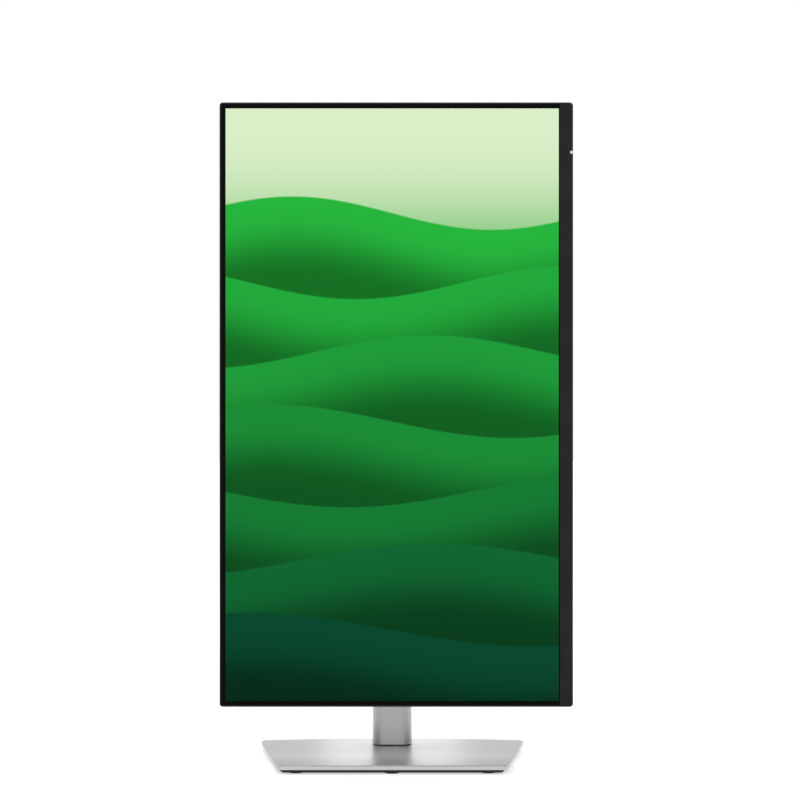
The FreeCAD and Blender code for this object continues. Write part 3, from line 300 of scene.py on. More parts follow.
def screen_picture(paint):
    """Level waves, layer before layer, light at the top of the screen and dark at the bottom."""
    x = paint.axis(0) / HALF_W
    y = (paint.axis(2) - PIVOT_Z) / HALF_W
    picture = y.step(0.4, 1.8).ramp([(0.0, LEAF), (1.0, PALE)])
    for layer in range(LAYERS):
        share = layer / (LAYERS - 1)
        crest = y - 1.15 + share * 2.5 + wave(x, 2.4 + share, 2.1 * layer, 0.10)
        lit = tuple(a + (b - a) * share for a, b in zip(LEAF, PINE))
        shade = tuple(0.35 * tone for tone in lit)
        body = crest.step(-0.55, 0.0).ramp([(0.0, shade), (1.0, lit)])
        picture = mix_colour(paint.tree, crest.step(0.006, -0.006), picture, body)
    return picture


def screen_material():
    """Anti-glare screen: glowing picture inside a black border."""
    paint = Paint("screen")
    picture = screen_picture(paint)
    across = paint.axis(0).math("ABSOLUTE")
    along = (paint.axis(2) - PIVOT_Z).math("ABSOLUTE")
    edge = 0.05
    area = across.step(HALF_W + edge, HALF_W - edge) * along.step(HALF_H + edge, HALF_H - edge)
    lit = area * paint.axis(1).step(FRONT_Y + 0.6, FRONT_Y + 0.5)
    grain = paint.noise(0.12, 2.0)
    base = mix_colour(paint.tree, lit, (0.0035, 0.0038, 0.0035), (0.0006, 0.0006, 0.0008))
    paint.set(Base_Color=base, Roughness=grain * 0.1 + 0.3, Specular_IOR_Level=0.02,
              Emission_Color=picture, Emission_Strength=lit * 0.92)
    return paint.bump(grain, 0.003).material


# ---------- solids built from rings of corners

DETAILED = set()             # CAD nodes that a detailed piece stands for
DISPLAY = Matrix(((0, 0, -1, 0), (0, 1, 0, FRONT_Y), (1, 0, 0, PIVOT_Z), (0, 0, 0, 1)))
STAND = Matrix.Identity(4)


def ring_of(axis, centre, radius, w, segments=24):
    """Corners round an axis at distance w along it; the radius may be a function of the angle."""
    corners = []
    for i in range(segments):
        turn = 2 * math.pi * i / segments
        r = radius(turn) if callable(radius) else radius
        u, v = r * math.cos(turn), r * math.sin(turn)
        corners.append(Vector(centre) + Vector({"x": (w, u, v), "y": (v, w, u), "z": (u, v, w)}[axis]))
    return corners


def hexagon_radius(corner, limit):
    """Radius of a hexagon at each angle, cut off by a circle."""
    flat = corner * math.cos(math.pi / 6)
    return lambda turn: min(limit, flat / math.cos(turn % (math.pi / 3) - math.pi / 6))


def helical(radius, depth, turns):
    """Radius of a threaded bar at each angle, this many turns along it."""
    return lambda turn: radius - depth * abs((turns - turn / (2 * math.pi)) % 1 * 2 - 1)


def fluted(radius, depth, waves):
    """Radius of a circle at each angle, with round flutes cut into it."""
    return lambda turn: radius - depth * abs(math.sin(waves * turn))


def cross_radius(arm, half):
    """Radius of a cross-shaped recess at each angle."""
    def radius(turn):
        local = (turn + math.pi / 4) % (math.pi / 2) - math.pi / 4
        if abs(math.tan(local)) <= half / arm:
            return arm / math.cos(local)
        return half / abs(math.sin(local))
    return radius


def rounded(corners, radius, steps=5):
    """Path through corner points with rounded bends."""
    points = [Vector(corner) for corner in corners]
    path = [points[0]]
    for before, corner, after in zip(points, points[1:], points[2:]):
        enter = corner + (before - corner).normalized() * radius
        leave = corner + (after - corner).normalized() * radius
        for i in range(steps + 1):
            share = i / steps
            path.append(enter.lerp(corner, share).lerp(corner.lerp(leave, share), share))
    return path + [points[-1]]


def winding(turns, steps):
    """Angle and share of the way along, step by step, for a number of turns."""
    return [(2 * math.pi * i / steps, i / (turns * steps)) for i in range(turns * steps + 1)]


def wires_outline(count, pitch):
    """Cross-section of a flat cable made of round wires side by side."""
    points = []
    for order, first in ((range(count), 200), (range(count - 1, -1, -1), 20)):
        for i in order:
            middle = i - (count - 1) / 2
            for turn in (0, 40, 70, 100, 140):
                angle = math.radians(first + turn)
                points.append(((middle + math.cos(angle) / 2) * pitch, math.sin(angle) / 2 * pitch))
    return points


class Solid:
    """Faces of one piece in millimetres, each with its own material."""

    def __init__(self, name, place=STAND):
        self.name = name
        self.place = place
        self.corners = []
        self.faces = []
        self.paints = []
        self.slots = []

    def paint(self, name):
        """The faces that follow get this material."""
        material = MATERIALS[name]
        if material not in self.slots:
            self.slots.append(material)
        self.current = self.slots.index(material)
        return self

    def add(self, corners, faces):
        start = len(self.corners)
        self.corners += [self.place @ Vector(corner) * MM for corner in corners]
        self.faces += [[start + i for i in face] for face in faces]
        self.paints += [self.current] * len(faces)
        return self

    def skin(self, rings, closed=False):
        """Cover a row of equal rings, with end caps unless the last ring joins the first."""
        count = len(rings[0])
        total = len(rings) * count
        faces = []
        for near in range(0, total if closed else total - count, count):
            far = (near + count) % total
            for j in range(count):
                after = (j + 1) % count
                faces.append((near + j, near + after, far + after, far + j))
        if not closed:
            faces += [range(count - 1, -1, -1), range(total - count, total)]
        return self.add([corner for ring in rings for corner in ring], faces)

    def turned(self, axis, centre, profile, segments=24, closed=False):
        """Round body from (radius, distance) pairs."""
        return self.skin([ring_of(axis, centre, r, w, segments) for r, w in profile], closed)

    def block(self, x0, x1, y0, y1, z0, z1, soft=0.15):
        """Box with chamfered edges."""
        soft = min(soft, (x1 - x0) / 5, (y1 - y0) / 5, (z1 - z0) / 5)
        rings = []
        for z, inset in ((z0, soft), (z0 + soft, 0), (z1 - soft, 0), (z1, soft)):
            a0, a1, b0, b1 = x0 + inset, x1 - inset, y0 + inset, y1 - inset
            rings.append([(a0 + soft, b0, z), (a1 - soft, b0, z), (a1, b0 + soft, z), (a1, b1 - soft, z),
                          (a1 - soft, b1, z), (a0 + soft, b1, z), (a0, b1 - soft, z), (a0, b0 + soft, z)])
        return self.skin(rings)

    def walls(self, x0, x1, y0, y1, z0, z1, thick, soft):
        """Four blocks round a rectangle across the depth; the short ones lap into the long ones."""
        lap = 0.1
        self.block(x0, x1, y0, y1, z0, z0 + thick, soft)
        self.block(x0, x1, y0, y1, z1 - thick, z1, soft)
        for x in (x0, x1 - thick):
            self.block(x, x + thick, y0, y1, z0 + thick - lap, z1 - thick + lap, soft)
        return self

    def bar(self, path, outline, side=None):
        """Outline of (a, b) pairs swept along a path; a points to the given side."""
        points = [Vector(point) for point in path]
        last = len(points) - 1
        rings = []
        for i, point in enumerate(points):
            way = (points[min(i + 1, last)] - points[max(i - 1, 0)]).normalized()
            side = way.orthogonal() if side is None else Vector(side)
            side = (side - way * side.dot(way)).normalized()
            other = way.cross(side)
            rings.append([point + side * a + other * b for a, b in outline])
        return self.skin(rings)

    def tube(self, path, radius, segments=8):
        turns = [2 * math.pi * i / segments for i in range(segments)]
        return self.bar(path, [(radius * math.cos(turn), radius * math.sin(turn)) for turn in turns])

    def ribbon(self, path, side, width, thick):
        a, b = width / 2, thick / 2
        return self.bar(path, [(-a, -b), (a, -b), (a, b), (-a, b)], side)

    def thread(self, axis, centre, radius, w0, w1, pitch, depth, segments=20):
        """Threaded bar: a helical groove runs round it."""
        steps = max(3, round((w1 - w0) / pitch * 5))
        rings = []
        for i in range(steps + 1):
            w = w0 + (w1 - w0) * i / steps
            rings.append(ring_of(axis, centre, helical(radius, depth, w / pitch), w, segments))
        return self.skin(rings)

    def hexagon(self, axis, centre, corner, w0, w1, bore=0.0, chamfer=0.5):
        """Hexagonal head, or a nut when there is a bore."""
        flat = corner * math.cos(math.pi / 6)
        levels = ((w0, flat * 0.99), (w0 + chamfer, corner), (w1 - chamfer, corner), (w1, flat * 0.99))
        profile = [(hexagon_radius(corner, limit), w) for w, limit in levels]
        if bore:
            profile += [(bore + 0.5, w1), (bore, w1 - 0.5), (bore, w0 + 0.5), (bore + 0.5, w0)]
        return self.turned(axis, centre, profile, 36, closed=bool(bore))

    def plate(self, x0, x1, z0, z1, y0, y1, holes=(), radius=1.3):
        """Flat plate across the depth with round holes."""
        loops = [[(x0, z0), (x1, z0), (x1, z1), (x0, z1)]]
        turns = [-i * math.pi / 10 for i in range(20)]
        for x, z in holes:
            loops.append([(x + radius * math.cos(turn), z + radius * math.sin(turn)) for turn in turns])
        flat = [Vector(point) for loop in loops for point in loop]
        owners = [number for number, loop in enumerate(loops) for _ in loop]
        edges = []
        start = 0
        for loop in loops:
            edges += [(start + i, start + (i + 1) % len(loop)) for i in range(len(loop))]
            start += len(loop)
        places, _, filled, origins, _, _ = delaunay_2d_cdt(flat, edges, [], 2, 1e-4)
        count = len(places)
        where = {first: new for new, firsts in enumerate(origins) for first in firsts}
        loop_of = {where[first]: number for first, number in enumerate(owners)}
        corners = [(p.x, y, p.y) for y in (y0, y1) for p in places]
        faces = []
        for face in filled:
            if loop_of[face[0]] > 0 and len({loop_of[i] for i in face}) == 1:
                continue         # this face lies across a hole
            area = sum(places[a].cross(places[b]) for a, b in zip(face, face[1:] + face[:1]))
            front = face if area > 0 else face[::-1]
            faces.append(front)
            faces.append([count + i for i in reversed(front)])
        faces += [(where[b], where[a], count + where[a], count + where[b]) for a, b in edges]
        return self.add(corners, faces)

    def piece(self, node):
        """Turn the faces into an object that stands for a CAD node."""
        mesh = bpy.data.meshes.new(self.name)
        mesh.from_pydata(self.corners, [], self.faces)
        for material in self.slots:
            mesh.materials.append(material)
        mesh.polygons.foreach_set("material_index", self.paints)
        finish_mesh(mesh)
        stand_for(node, bpy.data.objects.new(self.name, mesh))
        DETAILED.add(node)


# ---------- pieces from the CAD shapes

def finish_mesh(mesh):
    for face in mesh.polygons:
        face.use_smooth = True
    mesh.set_sharp_from_angle(angle=math.radians(35))


def stand_for(node, item):
    """Put an object in the scene on the node's body, and hide the node."""
    bpy.context.scene.collection.objects.link(item)
    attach(item, BODY_OF[node])
    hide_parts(node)


def softened(node, bevel_mm, material):
    """A copy of a CAD node with clean faces and softened edges that stands for the node."""
    shape = bmesh.new()
    shape.from_mesh(NODES[node].data)
    bmesh.ops.remove_doubles(shape, verts=shape.verts, dist=2e-6)
    bmesh.ops.dissolve_limit(shape, angle_limit=math.radians(0.6), verts=shape.verts, edges=shape.edges)
    bmesh.ops.triangulate(shape, faces=shape.faces, quad_method="BEAUTY", ngon_method="BEAUTY")
    bmesh.ops.join_triangles(shape, faces=shape.faces, angle_face_threshold=0.01,
                             angle_shape_threshold=0.7)
    shape.verts.index_update()
    mesh = bpy.data.meshes.new(node + "_soft")
    mesh.from_pydata([v.co for v in shape.verts], [], [[v.index for v in f.verts] for f in shape.faces])
    shape.free()
    piece = bpy.data.objects.new(node + "_soft", mesh)
    mesh.materials.append(material)
    finish_mesh(mesh)
    if bevel_mm:
        bevel = piece.modifiers.new("soft edges", "BEVEL")
        bevel.width = bevel_mm * MM
        bevel.segments = 2
        bevel.limit_method = "ANGLE"
        bevel.angle_limit = math.radians(38)
        bevel.use_clamp_overlap = True
        bevel.harden_normals = True
        bevel.miter_outer = "MITER_ARC"
    stand_for(node, piece)


MATERIALS = {
    "black_plastic": moulded_plastic("black_plastic", (0.011, 0.011, 0.012), 0.48, spec=0.3),
    "rear_plastic": moulded_plastic("rear_plastic", (0.020, 0.020, 0.022), 0.42, 0.6, 0.03, spec=0.4),
    "chin_plastic": moulded_plastic("chin_plastic", (0.015, 0.015, 0.016), 0.42, 0.25, 0.008, spec=0.1),
    "screen_glass": screen_material(),
    "optical_film": clear_sheet("optical_film", (0.86, 0.87, 0.88)),
    "light_guide": clear_sheet("light_guide", (0.82, 0.88, 0.90), 0.15),
    "steel": worked_metal("steel", (0.56, 0.57, 0.58), 0.38),
    "dark_steel": worked_metal("dark_steel", (0.05, 0.05, 0.055), 0.5, metallic=0.6),
    "silver_paint": silver_paint("silver_paint", (0.60, 0.605, 0.61)),
    "board_green": circuit_board("board_green"),
    "flex_amber": moulded_plastic("flex_amber", (0.42, 0.17, 0.02), 0.3, 0.8, 0.004),
    "zinc_fastener": worked_metal("zinc_fastener", (0.66, 0.66, 0.64), 0.3, (1, 6, 1), 0.3),
    "lens": clear_sheet("lens", (0.92, 0.95, 0.97), 0.1),
    "spring_steel": worked_metal("spring_steel", (0.38, 0.39, 0.42), 0.26, (1, 1, 10), 0.2),
    "cast_aluminium": cast_metal("cast_aluminium", (0.55, 0.56, 0.57)),
    "white_acetal": moulded_plastic("white_acetal", (0.74, 0.74, 0.70), 0.4, 0.5, 0.006),
    "rubber": soft_rubber("rubber", (0.018, 0.018, 0.018)),
    "cable_black": moulded_plastic("cable_black", (0.018, 0.018, 0.02), 0.45, 0.4, 0.01),
    "epoxy": moulded_plastic("chip_epoxy", (0.012, 0.012, 0.013), 0.42, 0.2, 0.004),
    "tin": worked_metal("tin_plate", (0.70, 0.70, 0.68), 0.28, (4, 1, 1), 0.3, 0.003),
    "gold": worked_metal("gold_plate", (0.85, 0.60, 0.22), 0.25, (1, 1, 4), 0.3, 0.002),
    "copper": worked_metal("enamelled_copper", (0.55, 0.20, 0.07), 0.22, (1, 1, 1), 0.4, 0.004),
    "anodised": worked_metal("anodised_sink", (0.10, 0.10, 0.105), 0.4, (1, 1, 12), 0.4, 0.008, 0.8),
    "ferrite": cast_metal("ferrite", (0.045, 0.043, 0.045)),
    "sleeve": moulded_plastic("capacitor_sleeve", (0.012, 0.016, 0.05), 0.25, 0.8, 0.003),
    "ceramic": moulded_plastic("ceramic", (0.26, 0.19, 0.13), 0.45, 0.2, 0.004),
    "tape": moulded_plastic("winding_tape", (0.62, 0.42, 0.05), 0.3, 1.2, 0.006),
    "yellow": moulded_plastic("yellow_plastic", (0.60, 0.50, 0.04), 0.35, 0.4, 0.004),
    "blue": moulded_plastic("blue_plastic", (0.01, 0.06, 0.35), 0.35, 0.4, 0.004),
    "brown": moulded_plastic("brown_insulation", (0.10, 0.035, 0.012), 0.4, 0.4, 0.004),
}
PLAIN_BEVEL_MM = 0.12        # softened edges of the nodes that have no own width here
BEVEL_MM = {"middle_frame": 0.45, "chin_strip": 0.3, "rear_cover": 0.5, "lcd_cell": 0.1,
            "column_shell": 0.3, "column_cap": 0.4, "base_cover": 0.35, "base_tray": 0.5,
            "hinge_cover": 0.8, "carriage": 0.5, "optical_films": 0, "reflector_sheet": 0,
            "tilt_bracket": 0.5, "quick_release_plate": 0.4, "column_foot": 0.5}

RANDOM = random.Random(11)


# ---------- small parts in detail

GLASS_LOW = -HALF_W
CHIN_LOW = GLASS_LOW - 12.7
CONTROL_X = 224.6            # joystick, lamp and power switch
STICK_Z = -138
BOARD_Y = 18.2               # depth of the boards' component side
BOARD_SIDE = DISPLAY @ Matrix.Translation((0, BOARD_Y, 0))
BOARD_HOLES = [(x, z) for x in (-86, -8, 8, 86) for z in (-56, 28)]
COVER_HOLES = [(x, z) for x in (-215, 215) for z in (-105, 90)]


def pan_screw(solid, x, y, z, length):
    """Small cross-recess screw driven forwards, its head seated at depth y."""
    head = [(2.6, 0), (2.6, 0.7), (2.45, 1.15), (2.15, 1.5), (1.75, 1.7)]
    head += [(cross_radius(1.5 * size, 0.32 * size), w) for size, w in ((1, 1.7), (0.7, 0.8))]
    solid.turned("y", (x, y, z), head, 32)
    solid.thread("y", (x, y, z), 1.2, -length, 0.05, 0.6, 0.22, 12)


def screws():
    boards = Solid("board_screw_set", DISPLAY).paint("zinc_fastener")
    for x, z in BOARD_HOLES:
        pan_screw(boards, x, BOARD_Y, z, 8)
    for x in (-98, 98):
        for z in (-50, 45):
            pan_screw(boards, x, 8, z, 0.95)
    boards.piece("board_screws")
    covers = Solid("cover_screw_set", DISPLAY).paint("dark_steel")
    for x, z in COVER_HOLES:
        pan_screw(covers, x, 16.8, z, 6)
    covers.piece("cover_screws")


def leg(solid, x, y, z, reach, lift):
    """Bent metal leg of a chip, reaching along x."""
    bends = ((-0.1, lift), (0.45, lift), (0.6, 0.08), (1, 0.08))
    solid.ribbon([(x + reach * share, y + rise, z) for share, rise in bends], (0, 0, 1), 0.4, 0.14)


def chip(solid, x, z, width, depth, y, height, legs=True):
    """Moulded chip with a row of legs on two sides."""
    solid.paint("epoxy").block(x, x + width, y + 0.12, y + height, z, z + depth, 0.14)
    solid.turned("y", (x + 1.2, y + height, z + depth - 1.2), [(0.45, -0.1), (0.4, 0.02)], 12)
    if not legs:
        return
    solid.paint("tin")
    for i in range(int(depth / 1.2)):
        spot = z + 0.8 + i * 1.2
        leg(solid, x, y, spot, -1.1, height * 0.5)
        leg(solid, x + width, y, spot, 1.1, height * 0.5)


def can(solid, x, y, z, radius, height):
    """Capacitor in a shrunk sleeve with a scored metal top."""
    waist = [(0.3, 0), (0, 0.3), (0, 0.9), (0.2, 1.2), (0, 1.5)]
    lip = [(0, 0.5), (0.2, 0.1), (0.6, 0), (0.8, 0.2)]
    body = [(radius - inset, w) for inset, w in waist]
    body += [(radius - inset, height - w) for inset, w in lip]
    solid.paint("sleeve").turned("y", (x, y, z), body, 20)
    score = cross_radius(radius * 0.6, 0.12)
    top = [(radius - 0.75, 0.6), (radius - 0.75, 0.12), (score, 0.12), (score, 0.35)]
    solid.paint("tin").turned("y", (x, y, z), [(r, height - w) for r, w in top], 32)


def passive(solid, x, z, y):
    """Tiny resistor or capacitor with metal ends."""
    length = 1.6
    solid.paint("ceramic").block(x + 0.3, x + length - 0.3, y, y + 0.55, z, z + 0.8, 0.06)
    solid.paint("tin")
    for end in (x, x + length - 0.32):
        solid.block(end, end + 0.32, y, y + 0.6, z - 0.03, z + 0.83, 0.05)


def scattered(solid, count, x0, x1, z0, z1, y, keep_out):
    """Seeded rows of tiny parts that stay clear of the larger ones."""
    placed = 0
    while placed < count:
        x = x0 + (x1 - x0) * RANDOM.random()
        z = z0 + (z1 - z0) * RANDOM.random()
        if any(a - 2.5 < x < b + 1 and c - 1.5 < z < d + 1 for a, b, c, d in keep_out):
            continue
        keep_out.append((x, x + 1.6, z, z + 0.8))
        passive(solid, x, z, y)
        placed += 1


def header(solid, x, z, width, y, depth=5.0, height=4.0):
    """White plug socket with a row of pins."""
    wall, pitch, middle = 0.8, 1.5, z + depth / 2
    inside = y + 0.85
    solid.paint("white_acetal").block(x, x + width, y, y + 0.9, z, z + depth, 0.1)
    for side in (x, x + width - wall):
        solid.block(side, side + wall, inside, y + height, z, z + depth, 0.1)
    for side in (z, z + depth - wall):
        solid.block(x + 0.75, x + width - 0.75, inside, y + height, side, side + wall, 0.1)
    solid.paint("gold")
    for i in range(int((width - 2.4) / pitch) + 1):
        pin = x + 1.1 + i * pitch
        solid.block(pin, pin + 0.4, inside, y + height - 0.8, middle - 0.2, middle + 0.2, 0.05)


def main_board():
    solid = Solid("main_board_parts", BOARD_SIDE).paint("board_green")
    solid.plate(3, 91, -72, 34, -1.6, 0, [hole for hole in BOARD_HOLES if hole[0] > 0])
    chip(solid, 30, -18, 22, 22, 0, 2, legs=False)
    for x, z, width, depth, height in ((60, -30, 12, 9, 1.2), (12, 8, 9, 6, 1.2), (40, 12, 6, 5, 1.1)):
        chip(solid, x, z, width, depth, 0, height)
    solid.paint("ferrite").block(62, 70, 0, 3, 12, 20, 0.8)
    solid.paint("anodised").block(31, 51, 1.95, 3.4, -17, 3, 0.2)
    for i in range(8):
        solid.block(31 + 2.75 * i, 31.9 + 2.75 * i, 3.3, 9, -17, 3, 0.15)
    for x, z in ((16, -34), (24, -34), (72, -10), (80, -10)):
        can(solid, x, 0, z, 3, 7)
    header(solid, 18, -56, 19, 0)
    solid.paint("tin").block(75, 79, 0, 1.2, 4, 8, 0.2)
    solid.block(54, 64, 0, 3.5, -46, -42, 0.5)
    large = [(28, 54, -20, 6), (58, 74, -32, -20), (10, 23, 6, 16), (38, 48, 10, 19), (60, 72, 10, 22),
             (11, 29, -39, -29), (68, 85, -15, -5), (16, 39, -58, -50), (73, 81, 2, 10),
             (52, 66, -48, -40), (3, 91, -80, -62)]
    large += [(x, x + width, z, z + 8) for x, width in ((83, 7), (4, 8)) for z in (24, -60)]
    scattered(solid, 46, 6, 88, -60, 31, 0, large)
    solid.piece("main_board")


def toroid(solid, x, y, z, radius, wire):
    """Ring core wound with copper wire."""
    side = [(2, 0.8), (2.2, 1.4), (2.2, 6), (2, 6.6)]
    core = [(radius + r, w) for r, w in side] + [(radius - r, w) for r, w in reversed(side)]
    solid.paint("ferrite").turned("y", (x, y, z), core, 28, closed=True)
    path = []
    for turn, share in winding(22, 10):
        around = share * math.radians(330)
        reach = radius + (2.2 + wire) * math.cos(turn)
        rise = 3.7 + (2.9 + wire) * math.sin(turn)
        path.append((x + reach * math.cos(around), y + rise, z + reach * math.sin(around)))
    solid.paint("copper").tube(path, wire, 6)


def power_board():
    solid = Solid("power_board_parts", BOARD_SIDE).paint("board_green")
    solid.plate(-91, -3, -70, 40, -1.6, 0, [hole for hole in BOARD_HOLES if hole[0] < 0])
    solid.paint("ferrite")
    solid.walls(-66, -30, 3, 9, -16, 0, 3.4, 0.4)
    solid.paint("tape").block(-60, -36, 1, 11.6, -12.5, -3.5, 1.6)
    solid.paint("epoxy")
    for x in (-62, -36):
        solid.block(x, x + 2, 0, 12, -22, 6, 0.3)
    solid.block(-60.2, -35.8, 0, 1.2, -21, 5, 0.3)
    can(solid, -72, 0, 20, 8, 13)
    for z in (0, -12, -24):
        can(solid, -20, 0, z, 4, 11)
    toroid(solid, -76, 0, -48, 5.0, 0.45)
    for x in (-52, -36):
        solid.paint("anodised").block(x, x + 1.4, 0, 12, 14, 34, 0.2)
        for i in range(6):
            solid.block(x + 1.3, x + 4.2, 1, 12, 14.4 + 3.6 * i, 15.2 + 3.6 * i, 0.1)
        solid.paint("epoxy").block(x - 3.2, x - 0.05, 2.5, 10, 20, 28, 0.3)
        solid.paint("tin")
        for z in (21.6, 24, 26.4):
            solid.block(x - 2, x - 1.5, 0, 2.8, z - 0.3, z + 0.3, 0.05)
    solid.paint("yellow").block(-58, -42, 0, 8, -44, -37, 0.6)
    disc = [(3.0, 0), (3.6, 0.4), (3.6, 1.8), (3.0, 2.2)]
    solid.paint("blue").turned("z", (-24, 4, -44), disc, 20)
    chip(solid, -24, 12, 6, 5, 0, 1.4)
    header(solid, -66, -62, 12, 0)
    header(solid, -14, 33, 8, 0, 4.5)
    large = [(-68, -28, -24, 8), (-81, -63, 11, 29), (-25, -15, -29, 5), (-86, -66, -58, -38),
             (-57, -34, 12, 36), (-60, -40, -46, -35), (-29, -19, -50, -40), (-26, -16, 10, 19),
             (-68, -52, -64, -55), (-16, -4, 31, 40)]
    large += [(x, x + 8, z, z + 8) for x in (-91, -12) for z in (24, -60)]
    scattered(solid, 30, -88, -6, -66, 36, 0, large)
    solid.piece("power_board")


def driver_board():
    solid = Solid("panel_driver_parts", DISPLAY).paint("board_green")
    top = 9.8
    chips = (-160, -110, 60, 110, 160)
    solid.block(-190, 190, 8.62, top, GLASS_LOW - 2, GLASS_LOW + 18, 0.1)
    for x in chips:
        chip(solid, x - 5, -142, 10, 8, top, 1.2)
    header(solid, 15, -137.5, 25, top, 5.0, 2.2)
    large = [(x - 8, x + 8, -144, -132) for x in chips] + [(12, 43, -140, -130)]
    scattered(solid, 50, -187, 186, -147, -132.5, top, large)
    solid.piece("panel_driver_board")


def light_bar():
    """Strip of white lamps along the edge of the light guide."""
    solid = Solid("led_bar_parts", DISPLAY).paint("board_green")
    solid.block(-262, 262, 2.8, 5.6, GLASS_LOW - 4.8, GLASS_LOW - 4, 0.1)
    lamp = (("white_acetal", 1.75, 1.0, 4.05, 3.1, 0.12),
            ("yellow", 1.3, 0.65, 3.2, 2.95, 0.08))
    for x in range(-253, 254, 11):
        for material, a, b, low, high, soft in lamp:
            solid.paint(material)
            solid.block(x - a, x + a, 4.2 - b, 4.2 + b, GLASS_LOW - low, GLASS_LOW - high, soft)
    solid.piece("led_bar")


def control_board():
    """Small board with the switch, the lamp and the joystick's socket."""
    x, y, z = CONTROL_X, 8.2, STICK_Z
    solid = Solid("control_board_parts", DISPLAY).paint("board_green")
    solid.block(x - 16, x + 16, y, y + 1, z - 14, z + 10, 0.1)
    solid.block(x + 8, x + 14, y, y + 1, CHIN_LOW + 1.5, z - 13.9, 0.1)
    solid.paint("white_acetal")
    solid.block(x + 9.8, x + 12.2, 7.05, y + 0.05, CHIN_LOW + 1.5, CHIN_LOW + 3.5, 0.15)
    solid.paint("tin").block(x - 3, x + 3, 6.2, y + 0.05, z - 13.9, z - 9, 0.2)
    solid.paint("epoxy")
    solid.walls(x - 6.5, x + 6.5, y + 0.95, y + 5, z - 6.5, z + 6.5, 1.4, 0.2)
    solid.block(x - 5.2, x + 5.2, y + 0.95, y + 1.8, z - 5.2, z + 5.2, 0.1)
    solid.paint("tin")
    for dx, dz in ((-3.6, 0), (3.6, 0), (0, -3.6), (0, 3.6)):
        solid.turned("y", (x + dx, y, z + dz), [(0.8, 1.75), (0.8, 1.81), (0.5, 1.86)], 12)
    chip(solid, x - 14, z + 1, 4, 4, y + 1, 1)
    header(solid, x - 15, z - 12, 7, y + 1, 3.5, 2.5)
    scattered(solid, 6, x + 8.5, x + 13, z - 11, z + 8, y + 1, [])
    solid.piece("control_board")


def joystick_knob():
    """Dished cap with a fluted rim on a gimballed stem."""
    centre = (CONTROL_X, 0, STICK_Z)
    solid = Solid("joystick_cap", DISPLAY).paint("black_plastic")
    rim = [(4.4, 16.2), (4.65, 16.5), (5.1, 19.2), (5.15, 19.5), (4.9, 19.8)]
    dish = [(3.6, 19.8), (3.25, 19.84), (2.6, 19.6), (1.6, 19.35), (0.5, 19.22)]
    solid.turned("y", centre, [(fluted(r, 0.12, 12), w) for r, w in rim] + dish, 96)
    solid.turned("y", centre, [(1.5, 12.9), (1.5, 15.8), (1.9, 16.3)], 20)
    solid.block(CONTROL_X - 1.9, CONTROL_X + 1.9, 11.6, 13, STICK_Z - 1.9, STICK_Z + 1.9, 0.2)
    pin = [(0.35, -3.2), (0.45, -3.1), (0.45, 3.1), (0.35, 3.2)]
    solid.turned("z", (CONTROL_X, 12.3, STICK_Z), pin, 12)
    solid.piece("joystick_knob")


def leads_and_cables():
    for i, colour in enumerate(("brown", "blue", "yellow")):
        solid = Solid(f"mains_lead_{i}", DISPLAY).paint(colour)
        x, z = -114 + 5 * i, -52 + 4 * i
        solid.tube(rounded([(x, 27, -57.6), (x, 27, z), (-88, 27, z), (-88, BOARD_Y, z)], 2.4), 0.9, 10)
        solid.paint("tin").turned("y", (-88, BOARD_Y, z), [(1.3, 0), (1.0, 0.5), (0.95, 0.9)], 12)
        solid.piece("inlet_leads")
    low = GLASS_LOW - 7.6
    video = [(12, -136.8), (13, -136.8), (13, -52.2), (16.6, -52.2)]
    lamps = [(4.3, low + 2.8), (4.3, low), (13.3, low), (13.3, -50.3), (16.6, -50.3)]
    for name, node, x, bends, radius, wires, pitch in (
            ("video_ribbon", "video_cable", 27.5, video, 0.45, 32, 0.59),
            ("led_ribbon", "led_cable", -57, lamps, 0.7, 10, 0.6)):
        path = rounded([(x, y, z) for y, z in bends], radius)
        cable = Solid(name, DISPLAY).paint("cable_black")
        cable.bar(path, wires_outline(wires, pitch), (1, 0, 0)).piece(node)
    tails = Solid("cell_tails", DISPLAY).paint("flex_amber")
    low = GLASS_LOW - 8.7
    bends = ((1.55, GLASS_LOW + 1.6), (1.55, low), (8.5, low), (8.5, low + 10))
    for x in (-150, 0, 150):
        tails.ribbon(rounded([(x, y, z) for y, z in bends], 1.6, 6), (1, 0, 0), 40, 0.15)
    tails.piece("cell_flexes")


SOCKETS = [(13, 15.2, 5.6, "hooded"), (32, 16.2, 5.2, "notched"), (48, 9, 3.3, "oval"),
           (63, 13.2, 5.8, "plain"), (80, 13.2, 5.8, "plain")]
SOCKET_LOW = -77.5           # mouths of the sockets and the mains inlet


def socket_outline(x, y, width, height, kind, inset):
    """Mouth shape of a cable socket, listed round its middle."""
    a, b = width / 2 - inset, height / 2 - inset
    cuts = {"plain": (0.3,) * 4, "hooded": (1.5, 1.5, 0.5, 0.5), "notched": (1.6, 0.4, 0.4, 0.4),
            "oval": (b * 0.9,) * 4}[kind]
    points = []
    for cut, (sx, sy) in zip(cuts, ((-1, -1), (1, -1), (1, 1), (-1, 1))):
        cut = max(0.15, cut - inset * 0.4)
        nips = ((cut, 0), (cut * 0.29, cut * 0.29), (0, cut))
        corner = [(sx * (a - u), sy * (b - v)) for u, v in nips]
        points += corner[::-1] if sx == sy else corner
    return [(x + u, y + v) for u, v in points]


